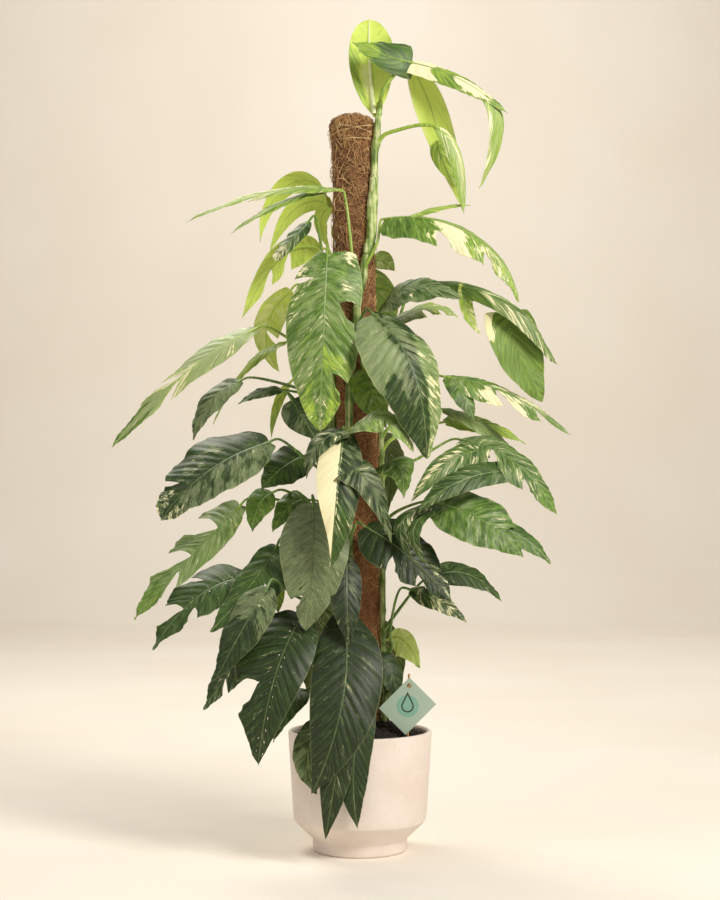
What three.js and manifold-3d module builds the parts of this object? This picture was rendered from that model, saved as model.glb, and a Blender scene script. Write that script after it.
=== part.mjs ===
// A variegated Epipremnum pinnatum climbing a coir pole in a footed ceramic pot.
// Millimetres, +Z up, the origin on the resting surface below the middle of the pot.
// The viewer stands on the -Y side, so +X is to the viewer's right.
import * as THREE from "three";
import { mergeVertices } from "three/addons/utils/BufferGeometryUtils.js";
import Module from "manifold-3d";

const wasm = await Module();
wasm.setup();

// Driving sizes
const gap = 0.35; // between pieces that touch on the real plant
const pot = {
  height: 174,
  rimRadius: 105,
  shoulderRadius: 97,
  shoulderHeight: 46,
  footRadius: 69,
  footHeight: 18,
  wall: 9,
  floor: 14,
};
const soilMound = { edgeBelowRim: 9, middleAboveRim: 16, bottom: pot.floor + gap };
const pole = {
  radius: 29,
  capRadius: 32,
  capHeight: 30,
  bottom: 60,
  top: 1075,
  boreRadius: 13,
  stakeRadius: 12,
  footX: 5.8,
  leanPerMm: -0.0166,
};
const petiole = {
  radiusAtStem: 3,
  radiusAtBlade: 1.8,
  sides: 5,
  away: 14,
  rise: 18,
  arrive: 16,
  pieceLength: 26,
};
const blade = {
  thickness: 0.9,
  ribDepth: 1.6,
  largeHalf: 35,
  stations: 6,
  rows: [0, 0.42, 1],
  stationsSmall: 4,
  rowsSmall: [0, 1],
};

// Where the photograph, 720 by 900 pixels, was taken from.
const camera = { distance: 2500, height: 504, focalPixels: 1700, pitch: 1.82, middle: [360, 450] };

const rad = THREE.MathUtils.degToRad;
const v3 = (x, y, z) => new THREE.Vector3(x, y, z);

// The point that shows at a pixel of the photograph and lies depth mm behind the pole's middle.
function seenAt([column, row, depth]) {
  const right = (column - camera.middle[0]) / camera.focalPixels;
  const up = (camera.middle[1] - row) / camera.focalPixels;
  const c = Math.cos(rad(camera.pitch));
  const s = Math.sin(rad(camera.pitch));
  const reach = (depth + camera.distance) / (c - up * s);
  return v3(reach * right, depth, camera.height + reach * (s + up * c));
}

// The direction at a compass angle (0 to the viewer, 90 to the viewer's right) and an elevation.
function direction(azimuth, elevation) {
  const a = rad(azimuth);
  const e = rad(elevation);
  return v3(Math.sin(a) * Math.cos(e), -Math.cos(a) * Math.cos(e), Math.sin(e));
}

// Solids

function toSolid(geometry) {
  const bare = new THREE.BufferGeometry();
  bare.setAttribute("position", geometry.getAttribute("position"));
  bare.setIndex(geometry.index);
  const merged = mergeVertices(bare, 1e-4);
  return new wasm.Manifold(
    new wasm.Mesh({
      numProp: 3,
      vertProperties: new Float32Array(merged.attributes.position.array),
      triVerts: new Uint32Array(merged.index.array),
    }),
  );
}

function toGeometry(solid) {
  const mesh = solid.getMesh();
  const geometry = new THREE.BufferGeometry();
  const positions = new Float32Array(mesh.numVert * 3);
  for (let i = 0; i < mesh.numVert; i++) {
    positions.set(mesh.vertProperties.subarray(i * mesh.numProp, i * mesh.numProp + 3), i * 3);
  }
  geometry.setAttribute("position", new THREE.BufferAttribute(positions, 3));
  geometry.setIndex(new THREE.BufferAttribute(new Uint32Array(mesh.triVerts), 1));
  geometry.computeVertexNormals();
  return geometry;
}

function geometryFrom(points, triangles) {
  const geometry = new THREE.BufferGeometry();
  const numbers = points.flatMap((p) => p.toArray());
  geometry.setAttribute("position", new THREE.Float32BufferAttribute(numbers, 3));
  geometry.setIndex(triangles.flat());
  return geometry;
}

// A closed tube of changing radius through a list of points.
function tube(points, radii, sides) {
  const rings = [];
  const tangents = points.map((p, i) =>
    v3()
      .subVectors(points[Math.min(i + 1, points.length - 1)], points[Math.max(i - 1, 0)])
      .normalize(),
  );
  let across = Math.abs(tangents[0].z) < 0.9 ? v3(0, 0, 1) : v3(1, 0, 0);
  points.forEach((p, i) => {
    across = across.clone().addScaledVector(tangents[i], -across.dot(tangents[i])).normalize();
    const other = v3().crossVectors(tangents[i], across);
    for (let k = 0; k < sides; k++) {
      const a = (2 * Math.PI * k) / sides;
      rings.push(
        p
          .clone()
          .addScaledVector(across, radii[i] * Math.cos(a))
          .addScaledVector(other, radii[i] * Math.sin(a)),
      );
    }
  });
  const triangles = [];
  const last = (points.length - 1) * sides;
  for (let i = 0; i < points.length - 1; i++) {
    for (let k = 0; k < sides; k++) {
      const a = i * sides + k;
      const b = i * sides + ((k + 1) % sides);
      triangles.push([a, b, b + sides], [a, b + sides, a + sides]);
    }
  }
  for (let k = 1; k < sides - 1; k++) {
    triangles.push([0, k + 1, k], [last, last + k, last + k + 1]);
  }
  return toSolid(geometryFrom(rings, triangles));
}

// A turned solid from a closed outline of [radius, height] pairs, going up the outside.
function turned(outline, segments) {
  const lathe = new THREE.LatheGeometry(
    outline.map(([r, z]) => new THREE.Vector2(r, z)),
    segments,
  );
  lathe.rotateX(Math.PI / 2);
  return toSolid(lathe);
}

// The pole and the vines that climb it

const poleAxis = (z) => v3(pole.footX + pole.leanPerMm * z, 0, z);

// Each vine climbs the pole: [height, compass angle round the pole, distance off the coir].
const vines = {
  main: {
    radius: 6.2,
    climb: [
      [120, -28, 2],
      [420, -24, 1],
      [650, -17, 1],
      [785, 4, 1],
      [850, 24, 1],
      [900, 47, 1],
      [1015, 62, 1.5],
      [1050, 64, 6],
      [1096, 68, 9],
    ],
  },
  right: {
    radius: 5,
    climb: [
      [120, 60, 2],
      [300, 68, 1],
      [560, 92, 1],
      [720, 96, 1],
    ],
  },
  left: {
    radius: 5.2,
    climb: [
      [120, -95, 2],
      [400, -84, 1],
      [640, -80, 1],
      [860, -72, 1],
    ],
  },
  back: {
    radius: 5.6,
    climb: [
      [120, 170, 2],
      [500, 184, 1],
      [900, 176, 1],
    ],
  },
};
const internode = 76;
const jointSwell = [[0, 1.18], [0.12, 0.94], [0.55, 0.9]];

function vinePoint(vine, z) {
  const keys = vine.climb;
  const next = Math.max(1, keys.findIndex((k) => k[0] >= z));
  const [z0, a0, d0] = keys[next - 1];
  const [z1, a1, d1] = keys[next];
  const t = THREE.MathUtils.smoothstep(z, z0, z1);
  const off = pole.radius + vine.radius + THREE.MathUtils.lerp(d0, d1, t);
  return poleAxis(z).addScaledVector(direction(THREE.MathUtils.lerp(a0, a1, t), 0), off);
}

// A vine swells a little at each joint that a leaf grew from.
function vineSolid(vine, extra) {
  const bottom = vine.climb[0][0];
  const top = vine.climb.at(-1)[0];
  const heights = [];
  const radii = [];
  for (let z = bottom; z < top - 12; z += internode) {
    for (const [along, swell] of jointSwell) {
      if (z + along * internode < top - 6) {
        heights.push(z + along * internode);
        radii.push(vine.radius * swell + extra);
      }
    }
  }
  heights.push(top);
  radii.push(vine.radius * 0.6 + extra);
  return tube(heights.map((z) => vinePoint(vine, z)), radii, 6);
}

// Leaves

// The point at t, from 0 to 1, of the smooth curve through 3 or 4 evenly spaced points.
function curveThrough(points, t) {
  const last = points.length - 1;
  return points.reduce((sum, p, i) => {
    const weight = points.reduce((w, _, k) => (k === i ? w : (w * (t * last - k)) / (i - k)), 1);
    return sum.addScaledVector(p, weight);
  }, v3());
}

// How wide a half is, from 0 to 1, where it is q of the way from the base to the tip.
function outline(q, peak, foot) {
  if (q < peak) {
    const x = 1 - q / peak;
    return 1 - (1 - foot) * x * x;
  }
  const x = (q - peak) / (1 - peak);
  return (1 - x ** 2.1) * (1 - 0.3 * x ** 3);
}

// A blade's curved surface: side (-1 left, 1 right), s along the rib, t from the rib to the margin.
function bladeSurface(leaf) {
  const rib = leaf.rib.map(seenAt);
  const { peak = 0.36, foot = [0.42, 0.42], fold = 6, droop = 0.25, twist = 0, wave = 0.03 } = leaf;
  const chord = rib.at(-1).clone().sub(rib[0]).normalize();
  const hint = v3().crossVectors(direction(...leaf.look), chord).normalize();
  const length = rib.slice(1).reduce((sum, p, i) => sum + p.distanceTo(rib[i]), 0);
  const frameAt = (u) => {
    const at = THREE.MathUtils.clamp(u, 0, 1);
    const step = 0.01;
    const tangent = curveThrough(rib, at + step).sub(curveThrough(rib, at - step)).normalize();
    const across = hint.clone().addScaledVector(tangent, -hint.dot(tangent)).normalize();
    across.applyAxisAngle(tangent, rad(twist * at));
    const point = curveThrough(rib, at).addScaledVector(tangent, (u - at) * length);
    return { point, across, normal: v3().crossVectors(tangent, across) };
  };
  const surface = (side, s, t, cut) => {
    const k = side < 0 ? 0 : 1;
    const half = leaf.half[k];
    const margin = s + 0.2 * Math.sin(Math.PI * s) * (1 - 0.4 * s) - 0.05 * (1 - s) ** 3;
    const beyond = cut && t > cut.from ? Math.min(1, (1.8 * (t - cut.from)) / (1 - cut.from)) : 0;
    const apart = cut ? (cut.edge * cut.open * beyond) / 2 : 0;
    const u = s + (margin - s) * t + apart;
    const q = THREE.MathUtils.clamp((margin + apart + 0.05) / 1.05, 0, 1);
    const corner = cut && cut.edge > 0 ? 1 - 0.14 * beyond : 1;
    const out = half * outline(q, peak, foot[k]) * t * corner;
    const { point, across, normal } = frameAt(u);
    const lift = Math.sin(rad(fold)) * out - (droop * out * out) / half;
    const ripple = wave * half * t * t * Math.sin(u * 15 + side * 1.3 + length);
    return point
      .addScaledVector(across, side * out * Math.cos(rad(fold)))
      .addScaledVector(normal, lift + ripple);
  };
  return { surface, frameAt };
}

// The columns of a half: one at each mark along the rib, two with their own edges where the half is cut.
function bladeColumns(side, marks, rows, cuts, ribIds, add) {
  const columns = [];
  marks.forEach((s, j) => {
    const cut = cuts.find((c) => c[0] === s);
    if (j === marks.length - 1) {
      columns.push({ ids: rows.map(() => ribIds[j]) });
    } else if (!cut) {
      columns.push({ ids: rows.map((t) => (t === 0 ? ribIds[j] : add(side, s, t))) });
    } else {
      const [, from, open] = cut;
      const joined = rows.map((t) => (t === 0 ? ribIds[j] : t <= from + 1e-6 ? add(side, s, t) : -1));
      for (const edge of [-1, 1]) {
        const cutEdge = { from, open, edge };
        const ids = rows.map((t, k) => (joined[k] < 0 ? add(side, s, t, cutEdge) : joined[k]));
        columns.push({ ids, splitFrom: edge > 0 ? joined.findLastIndex((id) => id >= 0) : -1 });
      }
    }
  });
  return columns;
}

// A blade as a closed thin solid with a rib under it.
function bladeSolid(leaf) {
  const { surface, frameAt } = bladeSurface(leaf);
  const large = Math.max(...leaf.half) > blade.largeHalf;
  const stations = large ? blade.stations : blade.stationsSmall;
  const rows = large ? blade.rows : blade.rowsSmall;
  const cuts = [leaf.cutsLeft ?? [], leaf.cutsRight ?? []];
  const cutAt = cuts.flat().map((c) => c[0]);
  const even = Array.from({ length: stations + 1 }, (_, j) => j / stations);
  const marks = even
    .filter((s) => s === 0 || s === 1 || cutAt.every((c) => Math.abs(c - s) > 0.6 / stations))
    .concat([...new Set(cutAt)])
    .sort((a, b) => a - b);
  const top = [];
  const bottom = [];
  const add = (side, s, t, cut) => {
    const [low, high] = [(x) => Math.max(x - 0.01, 0), (x) => Math.min(x + 0.01, 1)];
    const along = surface(side, high(s), t, cut).sub(surface(side, low(s), t, cut));
    const outward = surface(side, s, high(t), cut).sub(surface(side, s, low(t), cut));
    const normal = v3().crossVectors(along, outward).multiplyScalar(side).normalize();
    if (t === 0 || normal.lengthSq() < 0.5) normal.copy(frameAt(s).normal);
    const point = surface(side, s, t, cut);
    const rib = t === 0 ? blade.ribDepth * (1 - s) : 0;
    top.push(point.clone().addScaledVector(normal, blade.thickness / 2));
    bottom.push(point.clone().addScaledVector(normal, -blade.thickness / 2 - rib));
    return top.length - 1;
  };
  const ribIds = marks.map((s) => add(1, s, 0));
  const upper = [];
  for (const side of [-1, 1]) {
    const columns = bladeColumns(side, marks, rows, cuts[side < 0 ? 0 : 1], ribIds, add);
    columns.slice(1).forEach((column, i) => {
      if (column.splitFrom >= 0) return;
      const before = columns[i];
      for (let k = 0; k < rows.length - 1; k++) {
        const [a, b, c, d] = [before.ids[k], column.ids[k], column.ids[k + 1], before.ids[k + 1]];
        for (const tri of [[a, b, c], [a, c, d]]) {
          if (new Set(tri).size === 3) upper.push(side > 0 ? tri : tri.reverse());
        }
      }
    });
  }
  // The rim closes the free edges, the ones that only one upper triangle has.
  const under = top.length;
  const used = new Set(upper.flatMap((t) => t.map((p, i) => p + ":" + t[(i + 1) % 3])));
  const triangles = [];
  for (const [a, b, c] of upper) {
    triangles.push([a, b, c], [a + under, c + under, b + under]);
    for (const [p, q] of [[a, b], [b, c], [c, a]]) {
      if (!used.has(q + ":" + p)) triangles.push([q, p, p + under], [q, p + under, q + under]);
    }
  }
  return toSolid(geometryFrom([...top, ...bottom], triangles));
}

// The stalk leaves its vine, rises and bends over into the blade's rib.
function petioleSolid(leaf, start) {
  const { frameAt } = bladeSurface(leaf);
  const base = frameAt(0).point;
  const inside = frameAt(0.05).point;
  const reach = base.distanceTo(start);
  const away = start.clone().sub(poleAxis(start.z)).normalize();
  const rise = start
    .clone()
    .addScaledVector(away, Math.min(petiole.away, reach / 4))
    .add(v3(0, 0, Math.min(petiole.rise, reach / 4)));
  const lead = base.clone().sub(inside).normalize();
  const arrive = base.clone().addScaledVector(lead, Math.min(petiole.arrive, reach / 4));
  const stops = [start, rise, ...(leaf.via ?? []).map(seenAt), arrive, base, inside];
  const route = new THREE.CatmullRomCurve3(stops, false, "centripetal");
  const steps = Math.round(THREE.MathUtils.clamp(reach / petiole.pieceLength + stops.length - 3, 4, 9));
  const radii = Array.from({ length: steps + 1 }, (_, i) =>
    THREE.MathUtils.lerp(petiole.radiusAtStem, petiole.radiusAtBlade, Math.min(1, (1.4 * i) / steps)),
  );
  return tube(route.getPoints(steps), radii, petiole.sides);
}

// A leaf with its lobes, its stalk and the leaves beside it, cut back from the vine it grows from.
function leafSolids(leaf, start) {
  const blades = [leaf, ...(leaf.lobes ?? [])].map(bladeSolid);
  const beside = (leaf.beside ?? []).flatMap((other) => leafSolids(other, start));
  return [...blades, petioleSolid(leaf, start), ...beside];
}

// Every leaf: the vine and the height it grows from, the rib's start, bend and tip as they show in the
// photograph ([column, row, depth in mm]), which way the upper face looks and the two half widths in mm.
// A cut is [place along the rib, where it starts on the way out, how wide it opens].
const leaves = [
  {
    name: "leaf_top_spear", kind: "young", vine: "main", from: 1072,
    look: [180, 8], half: [31, 36],
    peak: 0.6, foot: [0.06, 0.06], rib: [[374, 114, -14], [370, 66, -12], [369, 20, -4]],
  },
  {
    name: "leaf_top_arching", kind: "cream", vine: "main", from: 1076,
    look: [10, 34], half: [21, 18], fold: -8,
    via: [[387, 94, -42], [395, 76, -42]],
    rib: [[410, 63, -36], [458, 78, -54], [508, 113, -62]],
    lobes: [
      {
        look: [-10, 26], half: [27, 25], foot: [0.8, 0.8],
        rib: [[412, 64, -36], [383, 57, -50], [352, 42, -48]],
      },
      {
        look: [170, 10], half: [22, 24], foot: [0.5, 0.5], fold: 2,
        rib: [[411, 64, -32], [436, 122, -8], [464, 212, 0]], cutsLeft: [[0.62, 0.42, 0.06]],
      },
      {
        look: [30, 15], half: [14, 12], foot: [0.7, 0.7],
        rib: [[484, 94, -56], [498, 130, -62], [479, 189, -60]],
      },
    ],
  },
  {
    name: "leaf_upper_right_1", kind: "marbled", vine: "main", from: 1026,
    look: [10, 32], half: [26, 15],
    via: [[400, 130, -28]],
    rib: [[424, 127, -34], [448, 150, -42], [463, 214, -50]], cutsLeft: [[0.35, 0.42, 0.05]],
  },
  {
    name: "leaf_upper_right_2", kind: "cream", vine: "main", from: 842,
    look: [10, 44], half: [40, 13], fold: -10,
    foot: [0.75, 0.4], via: [[379, 262, -40], [378, 240, -36]],
    rib: [[385, 219, -28], [436, 220, -56], [488, 247, -74], [519, 302, -80]],
    cutsLeft: [[0.32, 0.42, 0.08], [0.62, 0.42, 0.05]],
    lobes: [
      {
        look: [0, 50], half: [7, 6], foot: [0.8, 0.8],
        rib: [[408, 218, -43], [438, 208, -46], [471, 205, -40]],
      },
    ],
  },
  {
    name: "leaf_upper_left_1", kind: "marbled", vine: "main", from: 792,
    look: [0, 60], half: [17, 13],
    via: [[353, 264, -54], [351, 234, -56], [347, 207, -54]],
    rib: [[341, 190, -46], [266, 193, -72], [186, 222, -80]], cutsRight: [[0.5, 0.42, 0.05]],
    lobes: [
      {
        look: [0, 55], half: [9, 10], foot: [0.9, 0.9],
        rib: [[324, 190, -51], [276, 205, -62], [230, 234, -60]],
      },
    ],
  },
  {
    name: "leaf_upper_left_lime_1", kind: "young", vine: "back", from: 868,
    look: [150, 40], half: [17, 17],
    via: [[333, 236, 36]],
    foot: [0.8, 0.8],
    rib: [[332, 206, 38], [306, 180, 56], [276, 196, 72], [260, 242, 80]],
    lobes: [
      {
        look: [150, 30], half: [15, 14], foot: [0.9, 0.9],
        rib: [[330, 204, 38], [296, 208, 56], [270, 252, 64]],
      },
      {
        look: [150, 30], half: [13, 12], foot: [0.9, 0.9],
        rib: [[332, 206, 38], [321, 221, 48], [330, 250, 52]],
      },
    ],
  },
  {
    name: "leaf_upper_left_dark", kind: "mature", vine: "left", from: 784,
    look: [-25, 42], half: [17, 15],
    via: [[322, 252, -34], [319, 234, -38]], rib: [[308, 225, -38], [291, 242, -50], [272, 266, -52]],
  },
  {
    name: "leaf_upper_left_lime_2", kind: "young", vine: "left", from: 812,
    look: [165, 42], half: [26, 22],
    rib: [[319, 248, -8], [280, 259, -4], [242, 318, 6]],
    cutsLeft: [[0.38, 0, 0.08], [0.62, 0, 0.08]],
  },
  {
    name: "leaf_upper_left_lime_3", kind: "young", vine: "left", from: 746,
    look: [-160, 10], half: [24, 22],
    foot: [0.6, 0.6], via: [[306, 300, 18]], rib: [[290, 291, 28], [266, 330, 48], [279, 372, 56]],
    cutsLeft: [[0.5, 0, 0.07]],
    beside: [
      {
        look: [-10, 20], half: [8, 7],
        rib: [[289, 384, 4], [277, 406, 2], [271, 438, 2]],
      },
    ],
  },
  {
    name: "leaf_front_tall", kind: "marbled", vine: "left", from: 720,
    look: [-4, 18], half: [56, 54], fold: 5,
    peak: 0.34, foot: [0.3, 0.78], via: [[330, 300, -52], [328, 270, -60]],
    rib: [[327, 254, -76], [323, 342, -106], [320, 431, -102]],
    cutsRight: [[0.24, 0.42, 0.1], [0.62, 0.42, 0.06]], cutsLeft: [[0.12, 0.42, 0.03]],
  },
  {
    name: "leaf_front_silver", kind: "marbled", vine: "main", from: 690,
    look: [14, 28], half: [58, 46], fold: -4,
    rib: [[373, 314, -84], [413, 370, -135], [427, 459, -120]],
  },
  {
    name: "leaf_right_dark_1", kind: "mature", vine: "main", from: 742,
    look: [10, 42], half: [30, 24],
    rib: [[382, 307, -46], [414, 286, -82], [466, 300, -92]],
  },
  {
    name: "leaf_right_pale_1", kind: "marbled", vine: "right", from: 690,
    look: [10, 48], half: [20, 18],
    rib: [[394, 322, -26], [428, 308, -42], [458, 317, -46]],
    cutsLeft: [[0.4, 0, 0.09], [0.66, 0, 0.08]],
  },
  {
    name: "leaf_right_long", kind: "marbled", vine: "right", from: 712,
    look: [20, 60], half: [24, 15], fold: -12,
    rib: [[424, 284, -10], [504, 298, -14], [558, 364, -4]],
    lobes: [
      {
        look: [-150, 12], half: [12, 11], foot: [0.9, 0.9],
        rib: [[464, 286, -12], [467, 312, -22], [480, 334, -24]],
      },
      {
        look: [-165, 14], half: [42, 38], foot: [0.7, 0.75],
        rib: [[500, 300, -14], [509, 352, -26], [541, 402, -24]],
      },
    ],
  },
  {
    name: "leaf_right_cream", kind: "cream", vine: "right", from: 640,
    look: [20, 44], half: [24, 21],
    rib: [[446, 377, -16], [508, 394, -26], [571, 435, -30]],
    cutsLeft: [[0.4, 0, 0.08], [0.72, 0, 0.06]],
    lobes: [
      {
        look: [20, 25], half: [18, 16], foot: [0.8, 0.8],
        rib: [[452, 379, -20], [465, 398, -34], [474, 420, -36]],
      },
    ],
  },
  {
    name: "leaf_right_dark_2", kind: "mature", vine: "right", from: 600,
    look: [30, 46], half: [17, 15],
    rib: [[444, 410, 8], [488, 430, 14], [524, 468, 20]],
  },
  {
    name: "leaf_right_small", kind: "mature", vine: "right", from: 580,
    look: [20, 45], half: [20, 18],
    rib: [[446, 422, 30], [484, 424, 50], [526, 444, 64]],
  },
  {
    name: "leaf_right_marbled", kind: "marbled", vine: "right", from: 540,
    look: [16, 40], half: [36, 28],
    via: [[413, 461, -20]],
    rib: [[462, 440, -26], [512, 460, -64], [557, 514, -72]],
    cutsLeft: [[0.3, 0, 0.08], [0.62, 0.42, 0.05]],
    lobes: [
      {
        look: [20, 38], half: [15, 14], foot: [0.9, 0.9],
        rib: [[484, 450, -46], [440, 462, -94], [409, 500, -98]],
      },
      {
        look: [20, 38], half: [15, 14], foot: [0.9, 0.9],
        rib: [[514, 470, -66], [466, 476, -108], [426, 508, -114]],
      },
    ],
  },
  {
    name: "leaf_right_broad", kind: "mature", vine: "right", from: 470,
    look: [4, 34], half: [44, 42],
    foot: [0.6, 0.6], rib: [[438, 503, -76], [486, 522, -112], [523, 557, -116]],
    cutsRight: [[0.66, 0.42, 0.07]],
    lobes: [
      {
        look: [10, 36], half: [19, 17], foot: [0.9, 0.9],
        rib: [[483, 521, -111], [522, 537, -104], [551, 564, -102]],
      },
      {
        look: [-30, 25], half: [13, 12], foot: [0.9, 0.9],
        rib: [[444, 505, -78], [414, 528, -112], [428, 566, -118]],
      },
    ],
  },
  {
    name: "leaf_front_right_dark", kind: "mature", vine: "main", from: 395,
    look: [14, 32], half: [44, 46],
    rib: [[366, 527, -58], [408, 556, -88], [452, 602, -96]],
    cutsLeft: [[0.35, 0.42, 0.06], [0.62, 0.42, 0.06]],
  },
  {
    name: "leaf_low_right_striped", kind: "marbled", vine: "right", from: 278,
    look: [10, 40], half: [19, 17],
    via: [[390, 634, -32]], rib: [[411, 590, -44], [438, 600, -58], [467, 622, -62]],
  },
  {
    name: "leaf_low_right_dark", kind: "mature", vine: "right", from: 318,
    look: [10, 40], half: [23, 21],
    rib: [[432, 577, -4], [468, 574, 12], [502, 601, 26]],
  },
  {
    name: "leaf_low_right_pale", kind: "young", vine: "right", from: 255,
    look: [-140, 10], half: [16, 28],
    foot: [0.5, 0.7], rib: [[391, 639, 10], [406, 643, 20], [420, 668, 24]],
  },
  {
    name: "leaf_low_right_folded", kind: "mature", vine: "right", from: 225,
    look: [20, 20], half: [20, 19],
    foot: [0.6, 0.6], rib: [[379, 655, -34], [392, 674, -44], [398, 706, -44]],
  },
  {
    name: "leaf_front_cream", kind: "cream", vine: "main", from: 560,
    look: [4, 16], half: [38, 36],
    foot: [0.5, 0.5], rib: [[347, 428, -94], [337, 496, -148], [330, 567, -140]],
    lobes: [
      {
        look: [10, 35], half: [30, 26], foot: [0.8, 0.8],
        rib: [[349, 437, -106], [384, 462, -134], [392, 538, -132]],
      },
      {
        look: [-30, 30], half: [20, 17], foot: [0.8, 0.8],
        rib: [[346, 431, -102], [319, 444, -120], [306, 479, -120]],
      },
    ],
  },
  {
    name: "leaf_front_streaked", kind: "marbled", vine: "main", from: 590,
    look: [10, 40], half: [26, 22],
    rib: [[354, 428, -64], [384, 419, -90], [414, 452, -92]], cutsLeft: [[0.5, 0, 0.07]],
  },
  {
    name: "leaf_front_grey", kind: "mature", vine: "left", from: 424,
    look: [-6, 20], half: [50, 50], fold: 8,
    rib: [[313, 504, -68], [313, 562, -108], [305, 630, -108]], cutsLeft: [[0.72, 0.42, 0.05]],
  },
  {
    name: "leaf_front_narrow", kind: "mature", vine: "main", from: 350,
    look: [10, 22], half: [24, 22],
    rib: [[347, 556, -84], [347, 600, -114], [349, 645, -118]],
  },
  {
    name: "leaf_front_middle", kind: "mature", vine: "main", from: 470,
    look: [16, 40], half: [26, 24],
    rib: [[373, 472, -52], [397, 464, -74], [404, 498, -78]],
  },
  {
    name: "leaf_inner_dark", kind: "mature", vine: "right", from: 655,
    look: [6, 25], half: [28, 26],
    via: [[377, 384, -30]], rib: [[364, 370, -44], [373, 396, -54], [386, 428, -52]],
  },
  {
    name: "leaf_front_low_big", kind: "mature", vine: "main", from: 262,
    look: [2, 18], half: [48, 52], fold: 4,
    rib: [[345, 617, -76], [342, 704, -152], [312, 794, -160]],
  },
  {
    name: "leaf_low_hanging_left", kind: "mature", vine: "left", from: 238,
    look: [0, 14], half: [24, 23],
    via: [[334, 694, -78]], rib: [[342, 706, -110], [336, 772, -138], [325, 839, -136]],
  },
  {
    name: "leaf_low_hanging_right", kind: "mature", vine: "main", from: 200,
    look: [14, 12], half: [28, 26],
    rib: [[367, 690, -84], [354, 762, -120], [358, 828, -115]],
  },
  {
    name: "leaf_low_round", kind: "mature", vine: "left", from: 215,
    look: [-20, 12], half: [26, 20],
    via: [[316, 704, -70]], rib: [[320, 720, -98], [308, 758, -112], [317, 794, -112]],
    beside: [
      {
        look: [-34, 20], half: [24, 22],
        rib: [[306, 690, -66], [287, 706, -84], [273, 742, -90]],
      },
    ],
  },
  {
    name: "leaf_low_left_big", kind: "mature", vine: "left", from: 300,
    look: [-10, 18], half: [66, 42],
    rib: [[303, 616, -76], [275, 676, -134], [258, 765, -136]],
    cutsLeft: [[0.5, 0.42, 0.12]],
  },
  {
    name: "leaf_low_left_striped", kind: "marbled", vine: "left", from: 270,
    look: [-30, 30], half: [32, 30],
    rib: [[262, 634, -52], [232, 668, -78], [204, 710, -84]], cutsRight: [[0.62, 0, 0.05]],
  },
  {
    name: "leaf_low_left_grey", kind: "mature", vine: "left", from: 330,
    look: [-24, 24], half: [34, 32],
    via: [[292, 594, -92]], rib: [[267, 588, -98], [242, 630, -120], [215, 681, -124]],
  },
  {
    name: "leaf_low_left_dark", kind: "mature", vine: "left", from: 380,
    look: [-20, 34], half: [30, 36],
    rib: [[277, 546, -46], [250, 586, -76], [210, 632, -86]],
    cutsRight: [[0.36, 0.42, 0.08], [0.66, 0.42, 0.08]],
  },
  {
    name: "leaf_left_ribbed", kind: "mature", vine: "left", from: 350,
    look: [-20, 42], half: [52, 38],
    rib: [[246, 577, -28], [196, 598, -50], [153, 650, -62]],
    cutsLeft: [[0.3, 0.42, 0.03], [0.64, 0, 0.13]], cutsRight: [[0.5, 0.42, 0.08]],
  },
  {
    name: "leaf_left_lobed", kind: "marbled", vine: "left", from: 450,
    look: [-24, 40], half: [54, 30],
    via: [[282, 501, -6]], rib: [[240, 506, -22], [191, 556, -42], [134, 619, -50]],
    cutsLeft: [[0.24, 0, 0.16], [0.5, 0, 0.14]], cutsRight: [[0.62, 0, 0.1]],
  },
  {
    name: "leaf_left_marbled", kind: "marbled", vine: "left", from: 530,
    look: [-18, 42], half: [70, 50],
    foot: [0.36, 0.36], via: [[306, 459, -60]],
    rib: [[269, 442, -54], [208, 471, -92], [161, 520, -100]], cutsLeft: [[0.66, 0.42, 0.03]],
  },
  {
    name: "leaf_left_round", kind: "mature", vine: "left", from: 512,
    look: [-14, 30], half: [36, 32],
    foot: [0.6, 0.6], rib: [[304, 456, -14], [282, 468, -28], [261, 489, -30]],
  },
  {
    name: "leaf_left_inner", kind: "mature", vine: "left", from: 470,
    look: [-14, 34], half: [25, 22],
    rib: [[272, 493, -36], [259, 505, -44], [252, 532, -46]],
    beside: [
      {
        look: [-10, 34], half: [25, 23],
        rib: [[309, 500, -32], [290, 506, -42], [272, 532, -44]],
      },
    ],
  },
  {
    name: "leaf_left_long", kind: "marbled", vine: "left", from: 690,
    look: [-20, 46], half: [30, 26],
    rib: [[254, 330, -36], [188, 371, -50], [112, 447, -40]], cutsLeft: [[0.52, 0, 0.05]],
    cutsRight: [[0.55, 0, 0.06]],
  },
  {
    name: "leaf_left_grey", kind: "mature", vine: "left", from: 640,
    look: [-24, 36], half: [23, 21],
    rib: [[240, 381, -30], [210, 402, -46], [193, 440, -48]],
    beside: [
      {
        look: [-20, 44], half: [13, 12],
        rib: [[282, 390, -18], [261, 392, -26], [238, 404, -28]],
      },
    ],
  },
  {
    name: "leaf_left_narrow", kind: "mature", vine: "left", from: 665,
    look: [-20, 58], half: [14, 13],
    rib: [[284, 343, -8], [246, 368, 6], [213, 424, 30]],
  },
  {
    name: "leaf_left_shaded", kind: "mature", vine: "left", from: 590,
    look: [-14, 30], half: [26, 24],
    foot: [0.6, 0.6], rib: [[292, 400, -40], [303, 418, -54], [317, 440, -56]],
  },
];

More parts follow.
